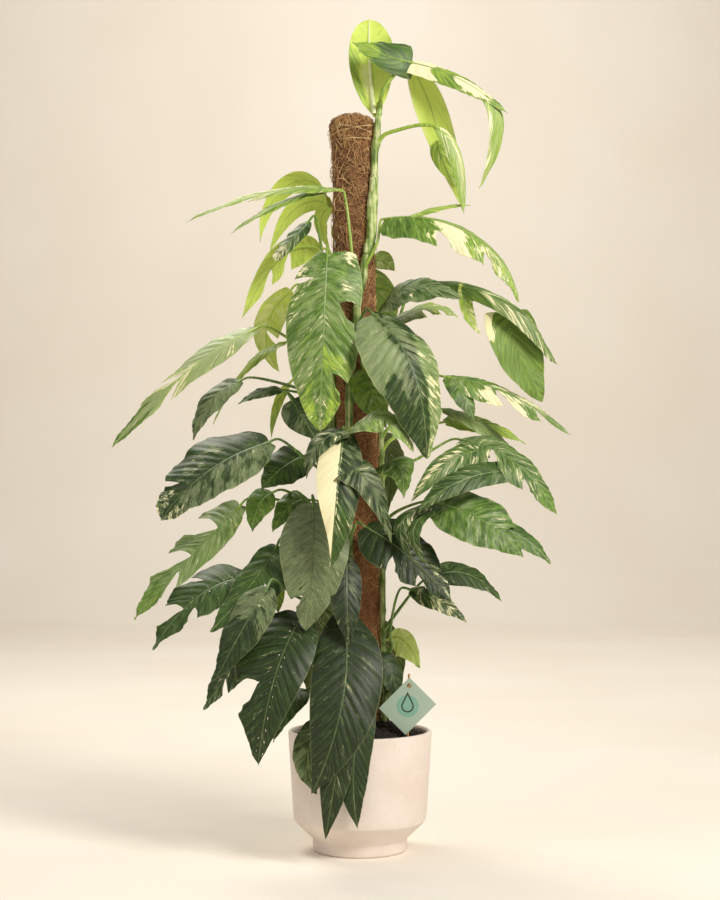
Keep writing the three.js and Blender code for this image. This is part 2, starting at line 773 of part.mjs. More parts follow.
// The leaves of the side that the photograph does not show, all on the back vine.
const backLeaves = [
  { from: 830, look: [-120, 25], half: [20, 18], rib: [[376, 268, 44], [386, 258, 56], [396, 274, 62]] },
  {
    from: 800, look: [176, 25], half: [44, 42], rib: [[366, 270, 88], [372, 318, 152], [376, 384, 160]],
    cutsLeft: [[0.4, 0.42, 0.06]],
  },
  {
    from: 640, look: [-160, 25], half: [40, 42], rib: [[342, 372, 84], [330, 410, 142], [322, 476, 152]],
    cutsRight: [[0.5, 0.42, 0.06]],
  },
  {
    from: 560, look: [140, 28], half: [36, 38], rib: [[380, 430, 66], [398, 456, 112], [408, 514, 124]],
    cutsLeft: [[0.5, 0.42, 0.06]],
  },
  {
    from: 440, look: [175, 25], half: [42, 40], rib: [[362, 500, 88], [362, 536, 150], [358, 600, 160]],
    cutsRight: [[0.4, 0.42, 0.06]],
  },
  {
    from: 320, look: [-150, 24], half: [40, 42], rib: [[340, 590, 74], [318, 628, 124], [308, 696, 132]],
    cutsLeft: [[0.5, 0.42, 0.06]],
  },
  {
    from: 270, look: [160, 24], half: [38, 40],
    rib: [[376, 620, 84], [384, 662, 128], [386, 724, 134]],
  },
];

// The pieces

const materials = {
  pot: { color: "#efe6de", roughness: 0.75 },
  soil: { color: "#2a1c14", roughness: 1 },
  coir: { color: "#7a4a2c", roughness: 1 },
  wood: { color: "#b98b5a", roughness: 0.8 },
  twine: { color: "#c9a36a", roughness: 0.9 },
  vine: { color: "#8fae62", roughness: 0.5 },
  young: { color: "#a9c83e", roughness: 0.45 },
  mature: { color: "#2f4f2a", roughness: 0.45 },
  marbled: { color: "#6c8f5c", roughness: 0.45 },
  cream: { color: "#dfe3b4", roughness: 0.45 },
  card: { color: "#a9cbbb", roughness: 0.8 },
  brass: { color: "#c8a24a", roughness: 0.35, metalness: 1 },
};

const plant = new THREE.Group();

function addPiece(name, material, solid, at = v3()) {
  const geometry = toGeometry(solid);
  geometry.translate(-at.x, -at.y, -at.z);
  const mesh = new THREE.Mesh(geometry, new THREE.MeshStandardMaterial(materials[material]));
  mesh.name = name;
  mesh.position.copy(at);
  plant.add(mesh);
}

// Pot: a straight wall over a chamfer and a flat-based foot.
const rimEase = 3;
const potOutline = [
  [0, 0],
  [pot.footRadius - 3, 0],
  [pot.footRadius - 0.5, 3],
  [pot.footRadius, pot.footHeight - 1],
  [pot.footRadius + 1.5, pot.footHeight + 1.5],
  [pot.shoulderRadius - 5, pot.shoulderHeight - 6],
  [pot.shoulderRadius - 1, pot.shoulderHeight - 1],
  [pot.shoulderRadius + 0.4, pot.shoulderHeight + 6],
  [pot.rimRadius, pot.height - rimEase],
  [pot.rimRadius - 1, pot.height - 1],
  [pot.rimRadius - rimEase, pot.height],
  [pot.rimRadius - pot.wall + rimEase, pot.height],
  [pot.rimRadius - pot.wall + 0.5, pot.height - rimEase],
  [pot.shoulderRadius - pot.wall, pot.shoulderHeight + 6],
  [pot.footRadius - 4, pot.floor + 4],
  [pot.footRadius - 9, pot.floor],
  [0, pot.floor],
];
addPiece("pot", "pot", turned(potOutline, 36));

// The coir sleeve, closed over the top of its wooden stake.
const sides = 20;
const poleRing = (z, radius) => ({ at: poleAxis(z), radius });
const sleeveRings = [
  [pole.bottom, 28],
  [200, 28.6],
  [420, 29],
  [640, 28.2],
  [860, 29],
  [960, 28.4],
  [pole.top - pole.capHeight - 4, 28.6],
  [pole.top - pole.capHeight + 4, pole.capRadius - 1],
  [pole.top - 12, pole.capRadius],
  [pole.top - 3, pole.capRadius - 4],
  [pole.top, pole.capRadius - 12],
].map(([z, radius]) => poleRing(z, radius));
const sleeveRadiusAt = (z) => {
  const next = sleeveRings.findIndex((ring) => ring.at.z >= z);
  const [low, high] = [sleeveRings[next - 1], sleeveRings[next]];
  return THREE.MathUtils.mapLinear(z, low.at.z, high.at.z, low.radius, high.radius);
};
const coirOuter = tube(sleeveRings.map((r) => r.at), sleeveRings.map((r) => r.radius), sides);
const stakeTop = pole.top - 24;
const boreEnds = [poleAxis(pole.bottom - 20), poleAxis(stakeTop)];
const bore = tube(boreEnds, [pole.boreRadius, pole.boreRadius], 14);
addPiece("coir_sleeve", "coir", coirOuter.subtract(bore));
addPiece(
  "pole_stake",
  "wood",
  tube([poleAxis(pot.floor + 12), poleAxis(stakeTop - 1)], [pole.stakeRadius, pole.stakeRadius], 14),
);

// Soil, with plain holes for the pole and the vines.
const soilTop = pot.height - soilMound.edgeBelowRim;
const inner = (z) =>
  THREE.MathUtils.mapLinear(
    z,
    pot.shoulderHeight + 6,
    pot.height,
    pot.shoulderRadius - pot.wall,
    pot.rimRadius - pot.wall,
  ) - gap;
const soilOutline = [
  [0, soilMound.bottom],
  [pot.footRadius - 9 - gap, soilMound.bottom],
  [pot.footRadius - 4 - gap, soilMound.bottom + 4],
  [inner(pot.shoulderHeight + 6), pot.shoulderHeight + 6],
  [inner(soilTop), soilTop],
  [78, soilTop + 6],
  [48, pot.height + soilMound.middleAboveRim * 0.7],
  [0, pot.height + soilMound.middleAboveRim],
];
let soil = turned(soilOutline, 24);
const coirRoom = tube([poleAxis(pole.bottom - gap), poleAxis(300)], [pole.radius, pole.radius], sides);
const stakeRoom = tube(
  [poleAxis(pot.floor + 11), poleAxis(120)],
  [pole.stakeRadius + gap, pole.stakeRadius + gap],
  14,
);
soil = soil.subtract(coirRoom).subtract(stakeRoom);
for (const vine of Object.values(vines)) {
  soil = soil.subtract(vineSolid(vine, gap));
}

// The label: a card on a thin wooden stick, tied at the brass eyelet in its top corner.
const label = { width: 54, height: 62, thickness: 1.4, turn: 45, holeRadius: 2.4, stickRadius: 1.6 };
const stickFoot = v3(67, -56, soilTop - 45);
const stickTop = seenAt([409, 674, -62]);
const stick = tube([stickFoot, stickTop], [label.stickRadius, label.stickRadius], 8);
const stickRoom = tube(
  [stickFoot.clone().setZ(stickFoot.z - gap), stickTop],
  [label.stickRadius + gap, label.stickRadius + gap],
  8,
);
soil = soil.subtract(stickRoom);
addPiece("soil", "soil", soil);
addPiece("label_stick", "wood", stick);

const cardMiddle = seenAt([407.5, 706, -62]);
const lean = Math.atan2(stickFoot.y - stickTop.y, stickTop.z - stickFoot.z);
const towardsViewer = v3(0, -Math.cos(lean), -Math.sin(lean));
const onStick = (x, z, off) => {
  const t = (z - stickFoot.z) / (stickTop.z - stickFoot.z);
  return v3(x, THREE.MathUtils.lerp(stickFoot.y, stickTop.y, t), z).addScaledVector(towardsViewer, off);
};
const cardOff = label.stickRadius + gap + label.thickness / 2;
const onCard = (u, v, off) => {
  const a = rad(label.turn);
  const x = u * Math.cos(a) + v * Math.sin(a);
  const z = v * Math.cos(a) - u * Math.sin(a);
  return onStick(cardMiddle.x + x, cardMiddle.z + z * Math.cos(lean), cardOff + off);
};
const eyeletAt = onCard(-label.width / 2 + 8, label.height / 2 - 8, 0);
const cardCorners = [-1, 1].flatMap((face) =>
  [[-1, -1], [1, -1], [1, 1], [-1, 1]].map(([u, v]) =>
    onCard((u * label.width) / 2, (v * label.height) / 2, (face * label.thickness) / 2),
  ),
);
const cardFaces = [[0, 2, 1], [0, 3, 2], [4, 5, 6], [4, 6, 7]];
for (let i = 0; i < 4; i++) {
  const j = (i + 1) % 4;
  cardFaces.push([i, j, j + 4], [i, j + 4, i + 4]);
}
const around = (radius, back, front) => {
  const ends = [-back, front].map((off) => eyeletAt.clone().addScaledVector(towardsViewer, off));
  return tube(ends, [radius, radius], 12);
};
const card = toSolid(geometryFrom(cardCorners, cardFaces)).subtract(around(label.holeRadius, 2, 2));
addPiece("label_card", "card", card);
const eyelet = around(label.holeRadius - gap, label.thickness / 2, label.thickness / 2 + gap + 0.5)
  .add(around(label.holeRadius + 1.1, -label.thickness / 2 - gap, label.thickness / 2 + gap + 0.6))
  .subtract(around(1.1, 3, 3));
addPiece("label_eyelet", "brass", eyelet);

// The twine: one turn round the sleeve, just under its cap.
const twine = { height: 1040, radius: 0.8, loop: sleeveRadiusAt(1040) + gap + 0.8 };
const twineRing = new THREE.TorusGeometry(twine.loop, twine.radius, 5, 32);
const twineAt = poleAxis(twine.height);
twineRing.translate(twineAt.x, twineAt.y, twineAt.z);
addPiece("pole_twine", "twine", toSolid(twineRing));

// Leaves, cut back a little where they meet the vine they grow from.
const largest = (solid) => solid.decompose().sort((a, b) => b.volume() - a.volume())[0];
for (const leaf of leaves) {
  const start = vinePoint(vines[leaf.vine], leaf.from);
  const solid = leafSolids(leaf, start).reduce((a, b) => a.add(b));
  addPiece(leaf.name, leaf.kind, largest(solid.subtract(vineSolid(vines[leaf.vine], gap))), start);
}

// The vines; the back one keeps its leaves.
for (const name of ["main", "right", "left"]) {
  addPiece("vine_" + name, "vine", vineSolid(vines[name], 0));
}
const backFoliage = backLeaves.flatMap((leaf) => leafSolids(leaf, vinePoint(vines.back, leaf.from)));
const backPlant = backFoliage.reduce((a, b) => a.add(b), vineSolid(vines.back, 0));
addPiece("vine_back", "mature", largest(backPlant));

export default plant;
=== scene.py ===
# A variegated Epipremnum pinnatum on its coir pole in a footed ceramic pot: the finished surfaces.
# Metres. The viewer stands on the -Y side. Leaf sizes are listed in millimetres and turned into metres here.
import math
import random

import bmesh
import bpy
import numpy as np
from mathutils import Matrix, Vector, noise


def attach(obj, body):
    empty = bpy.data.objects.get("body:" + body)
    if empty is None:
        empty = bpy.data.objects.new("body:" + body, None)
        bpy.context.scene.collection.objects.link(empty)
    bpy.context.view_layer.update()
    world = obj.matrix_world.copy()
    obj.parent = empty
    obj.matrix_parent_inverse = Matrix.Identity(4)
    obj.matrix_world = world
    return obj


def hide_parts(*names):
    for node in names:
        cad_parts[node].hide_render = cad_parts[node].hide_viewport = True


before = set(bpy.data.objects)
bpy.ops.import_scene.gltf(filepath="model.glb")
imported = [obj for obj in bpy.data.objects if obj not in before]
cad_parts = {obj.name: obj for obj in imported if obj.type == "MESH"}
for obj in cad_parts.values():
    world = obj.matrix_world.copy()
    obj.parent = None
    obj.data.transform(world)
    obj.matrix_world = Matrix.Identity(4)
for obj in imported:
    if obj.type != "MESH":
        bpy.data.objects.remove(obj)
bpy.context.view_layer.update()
mm = 0.001

# Where the plant is seen from, in mm and degrees, on a picture of 720 by 900 pixels.
view = {
    "distance": 2500, "height": 504, "pitch": 1.82, "focalPixels": 1700, "middle": (360, 450), "sensor": 36,
}


def say(stage):
    print("dressing:", stage)


# Placing

def unit(v):
    return v / np.maximum(np.linalg.norm(v, axis=-1, keepdims=True), 1e-9)


def ease(x, low, high):
    t = np.clip((x - low) / (high - low), 0, 1)
    return t * t * (3 - 2 * t)


def direction(azimuth, elevation):  # 0 points to the viewer, 90 to the viewer's right
    a, e = math.radians(azimuth), math.radians(elevation)
    return np.array([math.sin(a) * math.cos(e), -math.cos(a) * math.cos(e), math.sin(e)])


def seenAt(spot):  # [column, row, depth in mm behind the pole's middle]
    column, row, depth = spot
    pitch = math.radians(view["pitch"])
    right = (column - view["middle"][0]) / view["focalPixels"]
    up = (view["middle"][1] - row) / view["focalPixels"]
    reach = (depth + view["distance"]) / (math.cos(pitch) - up * math.sin(pitch))
    height = view["height"] + reach * (math.sin(pitch) + up * math.cos(pitch))
    return np.array([reach * right, depth, height])


# Meshes

def only(*pieces):
    bpy.ops.object.select_all(action="DESELECT")
    for piece in pieces:
        piece.select_set(True)
    bpy.context.view_layer.objects.active = pieces[0]


def named(name):
    piece = bpy.context.active_object
    piece.name = piece.data.name = name
    return piece


def corners(piece):
    flat = np.empty(len(piece.data.vertices) * 3, np.float32)
    piece.data.vertices.foreach_get("co", flat)
    return flat.reshape(-1, 3).astype(float)


def place(piece, points):
    piece.data.vertices.foreach_set("co", np.asarray(points, np.float32).ravel())
    piece.data.update()


def mark(piece, name, values):  # a value, vector or colour at every vertex
    values = np.asarray(values, np.float32)
    count = len(piece.data.vertices)
    width = values.shape[-1] if values.ndim > 1 else 1
    kind, field = {1: ("FLOAT", "value"), 3: ("FLOAT_VECTOR", "vector"), 4: ("FLOAT_COLOR", "color")}[width]
    made = piece.data.attributes.new(name, kind, "POINT")
    made.data.foreach_set(field, values.reshape(count * width))


def edit(piece, action, **settings):  # one edit-mode step on the whole of a piece
    only(piece)
    bpy.ops.object.mode_set(mode="EDIT")
    bpy.ops.mesh.select_all(action="SELECT")
    action(**settings)
    bpy.ops.object.mode_set(mode="OBJECT")


def faceOutwards(piece):
    edit(piece, bpy.ops.mesh.normals_make_consistent, inside=False)


def pickEdges(piece, wanted):  # goes into edit mode with only the wanted edges picked
    only(piece)
    bpy.ops.object.mode_set(mode="EDIT")
    bpy.ops.mesh.select_all(action="DESELECT")
    shape = bmesh.from_edit_mesh(piece.data)
    for edge in shape.edges:
        edge.select = wanted(*[corner.co for corner in edge.verts])
    shape.select_flush_mode()


def linked(name, data):
    piece = bpy.data.objects.new(name, data)
    bpy.context.collection.objects.link(piece)
    return piece


def meshPiece(name, points, faces):  # points in mm
    mesh = bpy.data.meshes.new(name)
    mesh.from_pydata((points.reshape(-1, 3) * mm).tolist(), [], faces)
    return linked(name, mesh)


def finishWith(piece, kind, **settings):  # a modifier, applied
    only(piece)
    modifier = piece.modifiers.new(kind.title(), kind)
    for key, value in settings.items():
        setattr(modifier, key, value)
    bpy.ops.object.modifier_apply(modifier=modifier.name)


def joined(name, pieces):
    only(*pieces)
    if len(pieces) > 1:
        bpy.ops.object.join()
    return named(name)


def smooth(piece, angle):
    only(piece)
    bpy.ops.object.shade_smooth_by_angle(angle=math.radians(angle))


def dress(piece, node, angle=40):  # creases sharper than the angle stay sharp
    smooth(piece, angle)
    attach(piece, "root")
    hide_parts(node)


def tubeAlong(points, radii, material, roundness=2):  # points in mm, radii in mm
    curve = bpy.data.curves.new("tube", "CURVE")
    curve.dimensions = "3D"
    curve.bevel_depth = mm
    curve.bevel_resolution = roundness
    curve.use_fill_caps = True
    spline = curve.splines.new("POLY")
    spline.points.add(len(points) - 1)
    places = np.column_stack([np.asarray(points) * mm, np.ones(len(points))])
    spline.points.foreach_set("co", places.ravel())
    spline.points.foreach_set("radius", np.asarray(radii, float))
    only(linked("tube", curve))
    bpy.ops.object.convert(target="MESH")
    piece = bpy.context.active_object
    piece.data.materials.append(material)
    return piece


def through(stops, count):  # a smooth centripetal curve through the stops
    stops = np.asarray(stops, float)
    ends = np.vstack([2 * stops[0] - stops[1], stops, 2 * stops[-1] - stops[-2]])
    knots = np.concatenate([[0], np.cumsum(np.linalg.norm(np.diff(ends, axis=0), axis=1) ** 0.5)])
    made = []
    for x in np.linspace(knots[1], knots[-2], count):
        i = int(np.clip(np.searchsorted(knots, x, side="right") - 1, 1, len(knots) - 3))
        k, p = knots[i - 1:i + 3], ends[i - 1:i + 3]
        for span in (1, 2, 3):
            low, high = (k[1:2], k[2:3]) if span == 3 else (k[:4 - span], k[span:])
            share = ((x - low) / (high - low))[:, None]
            p = p[:-1] * (1 - share) + p[1:] * share
        made.append(p[0])
    return np.array(made)


# Finishes

def colour(text):  # "#rrggbb" as the linear values that a shader takes
    values = [int(text[i:i + 2], 16) / 255 for i in (1, 3, 5)]
    return tuple(v / 12.92 if v <= 0.04045 else ((v + 0.055) / 1.055) ** 2.4 for v in values) + (1,)


class Wire:  # a shader socket that can stand in a sum
    def __init__(self, finish, socket):
        self.finish = finish
        self.socket = socket

    def maths(self, operation, *values):
        return self.finish.node("ShaderNodeMath", {"operation": operation}, dict(enumerate(values)))

    def __add__(self, other):
        return self.maths("ADD", self, other)

    def __sub__(self, other):
        return self.maths("SUBTRACT", self, other)

    def __rsub__(self, other):
        return self.maths("SUBTRACT", other, self)

    def __mul__(self, other):
        return self.maths("MULTIPLY", self, other)

    def __truediv__(self, other):
        return self.maths("DIVIDE", self, other)

    __radd__ = __add__
    __rmul__ = __mul__

    def size(self):
        return self.maths("ABSOLUTE", self)

    def root(self):
        return self.maths("SQRT", self)

    def toWhole(self):  # distance to the nearest whole number, 0 to 0.5
        return (self - self.maths("ROUND", self)).size()


class Finish:  # a material under construction
    def __init__(self, name):
        self.material = bpy.data.materials.new(name)
        self.material.use_nodes = True
        self.tree = self.material.node_tree
        self.surface = self.tree.nodes["Principled BSDF"]

    def node(self, kind, settings=None, inputs=None, output=0):
        made = self.tree.nodes.new(kind)
        for key, value in (settings or {}).items():
            if key == "stops":
                ramp = made.color_ramp
                for at, shade in value[2:]:
                    ramp.elements.new(at)
                for element, (at, shade) in zip(ramp.elements, sorted(value)):
                    element.position = at
                    element.color = colour(shade)
            else:
                setattr(made, key, value)
        for key, value in (inputs or {}).items():
            if isinstance(value, Wire):
                self.tree.links.new(value.socket, made.inputs[key])
            else:
                made.inputs[key].default_value = value
        return Wire(self, made.outputs[output])

    def place(self):
        return self.node("ShaderNodeTexCoord", output="Object")

    def attribute(self, name, output="Vector"):
        return self.node("ShaderNodeAttribute", {"attribute_name": name}, output=output)

    def parts(self, vector):
        made = self.node("ShaderNodeSeparateXYZ", inputs={0: vector})
        return [Wire(self, made.socket.node.outputs[i]) for i in range(3)]

    def stretch(self, vector, scale, offset=(0, 0, 0)):
        inputs = {0: vector, 1: scale, 2: offset}
        return self.node("ShaderNodeVectorMath", {"operation": "MULTIPLY_ADD"}, inputs)

    def noise(self, vector, scale=1, detail=3, roughness=0.55, twist=0):
        inputs = {"Vector": vector, "Scale": scale, "Detail": detail, "Roughness": roughness}
        return self.node("ShaderNodeTexNoise", inputs=inputs | {"Distortion": twist})

    def drifted(self, vector, scale, amount):  # bends a pattern's place by a slow noise
        inputs = {"Vector": vector, "Scale": scale, "Detail": 1.0}
        slow = self.node("ShaderNodeTexNoise", inputs=inputs, output=1)
        return self.stretch(slow, amount, vector)

    def cells(self, vector, scale):
        return self.node("ShaderNodeTexVoronoi", inputs={"Vector": vector, "Scale": scale})

    def band(self, value, low, high):  # 0 below low, 1 above high, smooth between
        inputs = {"Value": value, "From Min": low, "From Max": high}
        return self.node("ShaderNodeMapRange", {"interpolation_type": "SMOOTHSTEP"}, inputs)

    def ramp(self, value, *stops):
        return self.node("ShaderNodeValToRGB", {"stops": stops}, {0: value})

    def blend(self, under, over, share):
        under, over = [colour(c) if isinstance(c, str) else c for c in (under, over)]
        return self.node("ShaderNodeMix", {"data_type": "RGBA"}, {0: share, 6: under, 7: over}, output=2)

    def bump(self, height, depth, strength=1):
        made = self.node("ShaderNodeBump", inputs={"Height": height, "Distance": depth, "Strength": strength})
        self.tree.links.new(made.socket, self.surface.inputs["Normal"])

    def set(self, **values):
        for key, value in values.items():
            socket = self.surface.inputs[key.replace("_", " ")]
            if isinstance(value, Wire):
                self.tree.links.new(value.socket, socket)
            else:
                socket.default_value = value
        return self.material


# Leaf finish. Each blade carries three marks at every vertex: "streak" (cm along the rib, cm out along
# the side veins, a number of its own), "vein" (count of side veins so far, mm from the rib, share of the
# way to the margin) and "tissue" (how cream, how grey, how light a green, how flecked).
leafColours = {
    "greens": [
        (0, "#1c2912"), (0.15, "#293d17"), (0.35, "#436025"),
        (0.55, "#688835"), (0.78, "#a2bc46"), (1, "#d8e468"),
    ],
    "silver": "#98a577",
    "cream": "#f3e9bd",
    "pale": "#bfc987",
    "rib": "#bccb8a",
    # under: the underside's paler green, also laid thickly on the lightest leaves as a painted glow of light
    # shining through them
    "under": "#c4dc62",
    "pinhole": "#f3ecd8",
}
bladeSize = {  # mm, and how far along the rib a cut spreads the blade
    "thickness": 0.7, "veinSpacing": 13, "stepsPerVein": 4, "rowSpacing": 3.2, "cutReach": 0.16,
}
pinhole = {"fromRib": 4.4, "wide": 0.9, "long": 1.1, "share": (0.52, 0.56)}


def leafFinish(name, under=False):
    f = Finish(name)
    streak = f.attribute("streak")
    count, fromRib, along = f.parts(f.attribute("vein"))
    cream, grey, light = f.parts(f.attribute("tissue", "Color"))
    fleck = f.attribute("tissue", "Alpha")
    bent = f.drifted(streak, 0.7, (0.8, 0.8, 0))
    broad = f.noise(f.stretch(bent, (1.1, 0.42, 1)), 1, 3)
    middle = f.noise(f.stretch(bent, (3.4, 0.6, 3), (3, 1, 5)), 1, 3, 0.6)
    fine = f.noise(f.stretch(streak, (11, 1.3, 5)), 1, 3, 0.6)
    clouds = f.noise(f.stretch(bent, (1.4, 0.4, 7), (9, 4, 2)), 1, 3, 0.55)
    sector = f.band(broad * 0.42 + middle * 0.33 + fine * 0.25, 0.35, 0.65) + cream - 1
    patch = f.band(broad * 0.5 + clouds * 0.35 + fine * 0.15, 0.35, 0.65) + grey * 1.2 - 1.15
    vary = (f.band(clouds, 0.3, 0.7) - 0.5) * 0.2 + (middle - 0.5) * 0.6 + (fine - 0.5) * 0.35
    tone = light + vary * (0.62 + light * 0.8 - grey * 0.25)
    green = f.ramp(tone, *leafColours["greens"])
    brushed = f.band(grey, 1, 1.6) * 0.36 + 0.44 + (fine + middle - 1) * 0.8
    silver = f.blend(green, leafColours["silver"], brushed)
    shade = f.blend(green, silver, f.band(patch, -0.3, 0.3))
    specks = f.band(f.noise(f.stretch(streak, (16, 9, 11)), 1, 2, 0.5), 0.6, 0.68) * fleck
    halo = f.band(sector, -0.16, -0.02) * f.band(cream, 0.02, 0.25)
    sideVein = (1 - f.band(count.toWhole(), 0, 0.1)) * f.band(fromRib, 0.5, 4)
    midrib = 1 - f.band(fromRib, 0.5, 1.3)
    across = ((count + 0.5).toWhole() * bladeSize["veinSpacing"]) / pinhole["long"]
    outward = (fromRib - pinhole["fromRib"]) / pinhole["wide"]
    present = f.band(f.noise(streak, 1.7, 1), *pinhole["share"]) * f.attribute("pinhole", "Fac")
    hole = (1 - f.band((across * across + outward * outward).root(), 0.7, 1)) * present
    layers = [
        ("pale", specks * 0.5), ("pale", halo * 0.55), ("cream", f.band(sector, -0.05, 0.05) * 0.95),
        ("rib", sideVein * (light * 0.16 + 0.05)), ("rib", midrib * (light * 0.6 + 0.09)),
        ("pinhole", hole), ("pale", f.band(along, 0.965, 0.99) * (light * 0.4 + 0.12)),
    ]
    # Undersides get their own paler tint, and the lightest leaves much more of it: a painted glow that stands
    # in for light shining through the blade.
    if under:
        layers.append(("under", f.band(light, 0.7, 1) * 0.5 + 0.12))
    for layer, share in layers:
        shade = f.blend(shade, leafColours[layer], share)
    net = f.cells(f.stretch(streak, (9, 5, 1)), 1)
    f.bump(fine * 0.5 + net * 0.3 - sideVein * 0.5, 0.4 * mm, 0.5)
    return f.set(Base_Color=shade, Roughness=fine * 0.16 + (0.5 if under else 0.38), Specular_IOR_Level=0.32)


def stalkFinish(name):
    f = Finish(name)
    pale, _, light = f.parts(f.attribute("tissue", "Color"))
    place = f.place()
    streak = f.noise(f.stretch(place, (260, 260, 18)), 1, 3)
    green = f.ramp(light + (streak - 0.5) * 0.4, *leafColours["greens"])
    shade = f.blend(green, leafColours["pale"], f.band(streak, 0.5, 0.75) * 0.35)
    shade = f.blend(shade, "#e6ecb4", pale)
    f.bump(streak, 0.3 * mm, 0.4)
    return f.set(Base_Color=shade, Roughness=streak * 0.2 + 0.32)


leafUpper = leafFinish("leafUpper")
leafUnder = leafFinish("leafUnder", under=True)
stalkSkin = stalkFinish("stalkSkin")


# Leaf shapes
# look: azimuth and elevation of the upper side. half: mm from the rib to the left and right margin.
# peak: where along it the blade is widest. foot, blunt: how full its base and tip are, as one number or left
# and right. fold, droop, wave, ruffle, relief: its section. sweep: how far the side veins lean to the tip.
# paint: [light, grey, cream, fleck] all over. areas: [side, from, to along the rib, from, to across, tissue].
# rib, via: [column, row, depth]. cutsLeft, cutsRight: [place along the rib, share left whole, opening].
bladeDefaults = {
    "kind": "mature", "peak": 0.36, "foot": 0.42, "blunt": 1, "fold": 6, "droop": 0.25, "wave": 0.03,
    "ruffle": 0.05, "relief": 1.7, "sweep": 0.06, "pinholes": 0, "ribSize": 1, "ribPale": 0.05,
    "paint": [0.14, 0.3, 0.02, 0.1], "areas": [], "cutsLeft": [], "cutsRight": [],
}
tissues = {  # [light, grey, cream, fleck]; None keeps what is there
    "cream": [None, None, 1, 0],
    "pale": [None, 0.5, 0.5, 0],
    "marbled": [None, 0.6, 0.26, 0.1],
    "streaks": [None, 0.5, 0.12, 0.1],
    "grey": [None, 0.95, 0, None],
    "lime": [0.66, 0.1, 0.04, 0],
    "green": [0.5, 0.1, 0, 0],
    "silvered": [0.16, 0.72, 0.02, 0.1],
    # silvery grey lighter than a leaf's own: part its colour, part a painted sheen
    "misted": [0.36, 1.3, 0.02, 0],
    "mottled": [0.48, 0.9, 0.22, 1],
    "mossy": [0.26, 0.25, 0.08, 0.3],
    "deep": [0.36, 0, 0, 0],
    "dull": [0.1, 0.4, 0, 0],
}


def outline(q, peak, foot, blunt):  # half width, 0 to 1, where it is q of the way from base to tip
    x = np.clip((q - peak) / (1 - peak), 0, 1)
    body = (1 - x ** 2.1) ** (0.92 * blunt) * (1 - 0.25 * blunt ** 2 * x ** 3)
    return np.where(q < peak, 1 - (1 - foot) * (1 - q / peak) ** 2, body)


def within(x, low, high, soft):
    rise = 1 if low <= 0 else ease(x, low - soft, low + soft)
    fall = 0 if high >= 1 else ease(x, high - soft, high + soft)
    return rise * (1 - fall)


class Blade:  # one blade's curved surface, in mm
    def __init__(self, leaf):
        self.leaf = bladeDefaults | leaf
        self.foot = np.broadcast_to(self.leaf["foot"], 2)
        self.blunt = np.broadcast_to(self.leaf["blunt"], 2)
        self.rib = np.array([seenAt(spot) for spot in leaf["rib"]])
        self.length = np.linalg.norm(np.diff(self.rib, axis=0), axis=1).sum()
        self.veins = int(np.clip(round(self.length / bladeSize["veinSpacing"]), 5, 16))
        chord = unit(self.rib[-1] - self.rib[0])
        self.hint = unit(np.cross(direction(*leaf["look"]), chord))
        self.seed = abs(math.sin(self.length * 12.9 + leaf["rib"][0][0])) * 40

    def curve(self, t):
        last = len(self.rib) - 1
        total = 0
        for i, point in enumerate(self.rib):
            weight = np.ones_like(t)
            for k in range(last + 1):
                if k != i:
                    weight = weight * (t * last - k) / (i - k)
            total = total + weight[..., None] * point
        return total

    def frameAt(self, u):
        at = np.clip(u, 0, 1)
        tangent = unit(self.curve(at + 0.01) - self.curve(at - 0.01))
        across = unit(self.hint - tangent * (tangent @ self.hint)[..., None])
        point = self.curve(at) + tangent * ((u - at) * self.length)[..., None]
        return point, across, np.cross(tangent, across)

    def veinCount(self, s, t):  # whole numbers along the side veins, which lean to the tip
        return (s - self.leaf["sweep"] * np.sin(np.pi * s) * t) * self.veins

    def surface(self, side, s, t, cuts):  # s along the rib, t out from it, each 0 to 1
        leaf, k = self.leaf, 0 if side < 0 else 1
        half = leaf["half"][k]
        push, corner = 0, 1
        for (at, start, opening), edge in cuts:
            beyond = np.clip(1.8 * (t - start) / (1 - start), 0, 1) ** 0.7
            near = ease(1 - np.abs(s - at) / bladeSize["cutReach"], 0, 1)
            push = push + edge * opening * beyond * near / 2
            corner = corner * (1 - (0.2 if edge > 0 else 0.05) * beyond * near ** 2)
        # The side veins lean to the tip, so a vein from s at the rib meets the margin further on.
        margin = s + 0.2 * np.sin(np.pi * s) * (1 - 0.4 * s) - 0.05 * (1 - s) ** 3
        q = np.clip((margin + push + 0.05) / 1.05, 0, 1)
        u = s + (margin - s) * t + push + 0.05 * ease(1 - s / 0.1, 0, 1) * t ** 3
        out = half * outline(q, leaf["peak"], self.foot[k], self.blunt[k]) * t * corner
        point, across, normal = self.frameAt(u)
        fold = math.radians(leaf["fold"])
        lift = math.sin(fold) * out - leaf["droop"] * out ** 2 / half
        lift = lift + leaf["wave"] * half * t ** 2 * np.sin(u * 15 + side * 1.3 + self.length)
        lift = lift + leaf["ruffle"] * half * t ** 2.5 * np.sin(s * 19 + side * 2 + self.seed)
        lift = lift + leaf["ruffle"] * 0.4 * half * t ** 4 * np.sin(s * 43 - side + self.seed)
        furrow = 0.5 + 0.5 * np.cos(2 * np.pi * self.veinCount(s, t))
        lift = lift - leaf["relief"] * furrow ** 1.5 * ease(out, 1, 8) * (1 - 0.4 * t)
        lift = lift - 0.5 * np.exp(-((out / 1.8) ** 2))  # the groove over the midrib
        return point + across * (side * out * math.cos(fold))[..., None] + normal * lift[..., None], out

    def tissue(self, side, s, t):
        values = [np.full_like(s, x) for x in self.leaf["paint"]]
        s = s + 0.022 * np.sin(9 * t + 5 * s + self.seed) + 0.016 * np.sin(24 * t - 11 * s)
        t = t + 0.05 * np.sin(21 * s + self.seed) + 0.03 * np.sin(47 * s)
        for where, s0, s1, t0, t1, what in self.leaf["areas"]:
            if where in (0, side):
                share = within(s, s0, s1, 0.05) * within(t, t0, t1, 0.08)
                for i, value in enumerate(tissues[what]):
                    if value is not None:
                        values[i] = values[i] + (value - values[i]) * share
        light, grey, cream, fleck = values
        return np.column_stack([cream, grey, light, fleck])


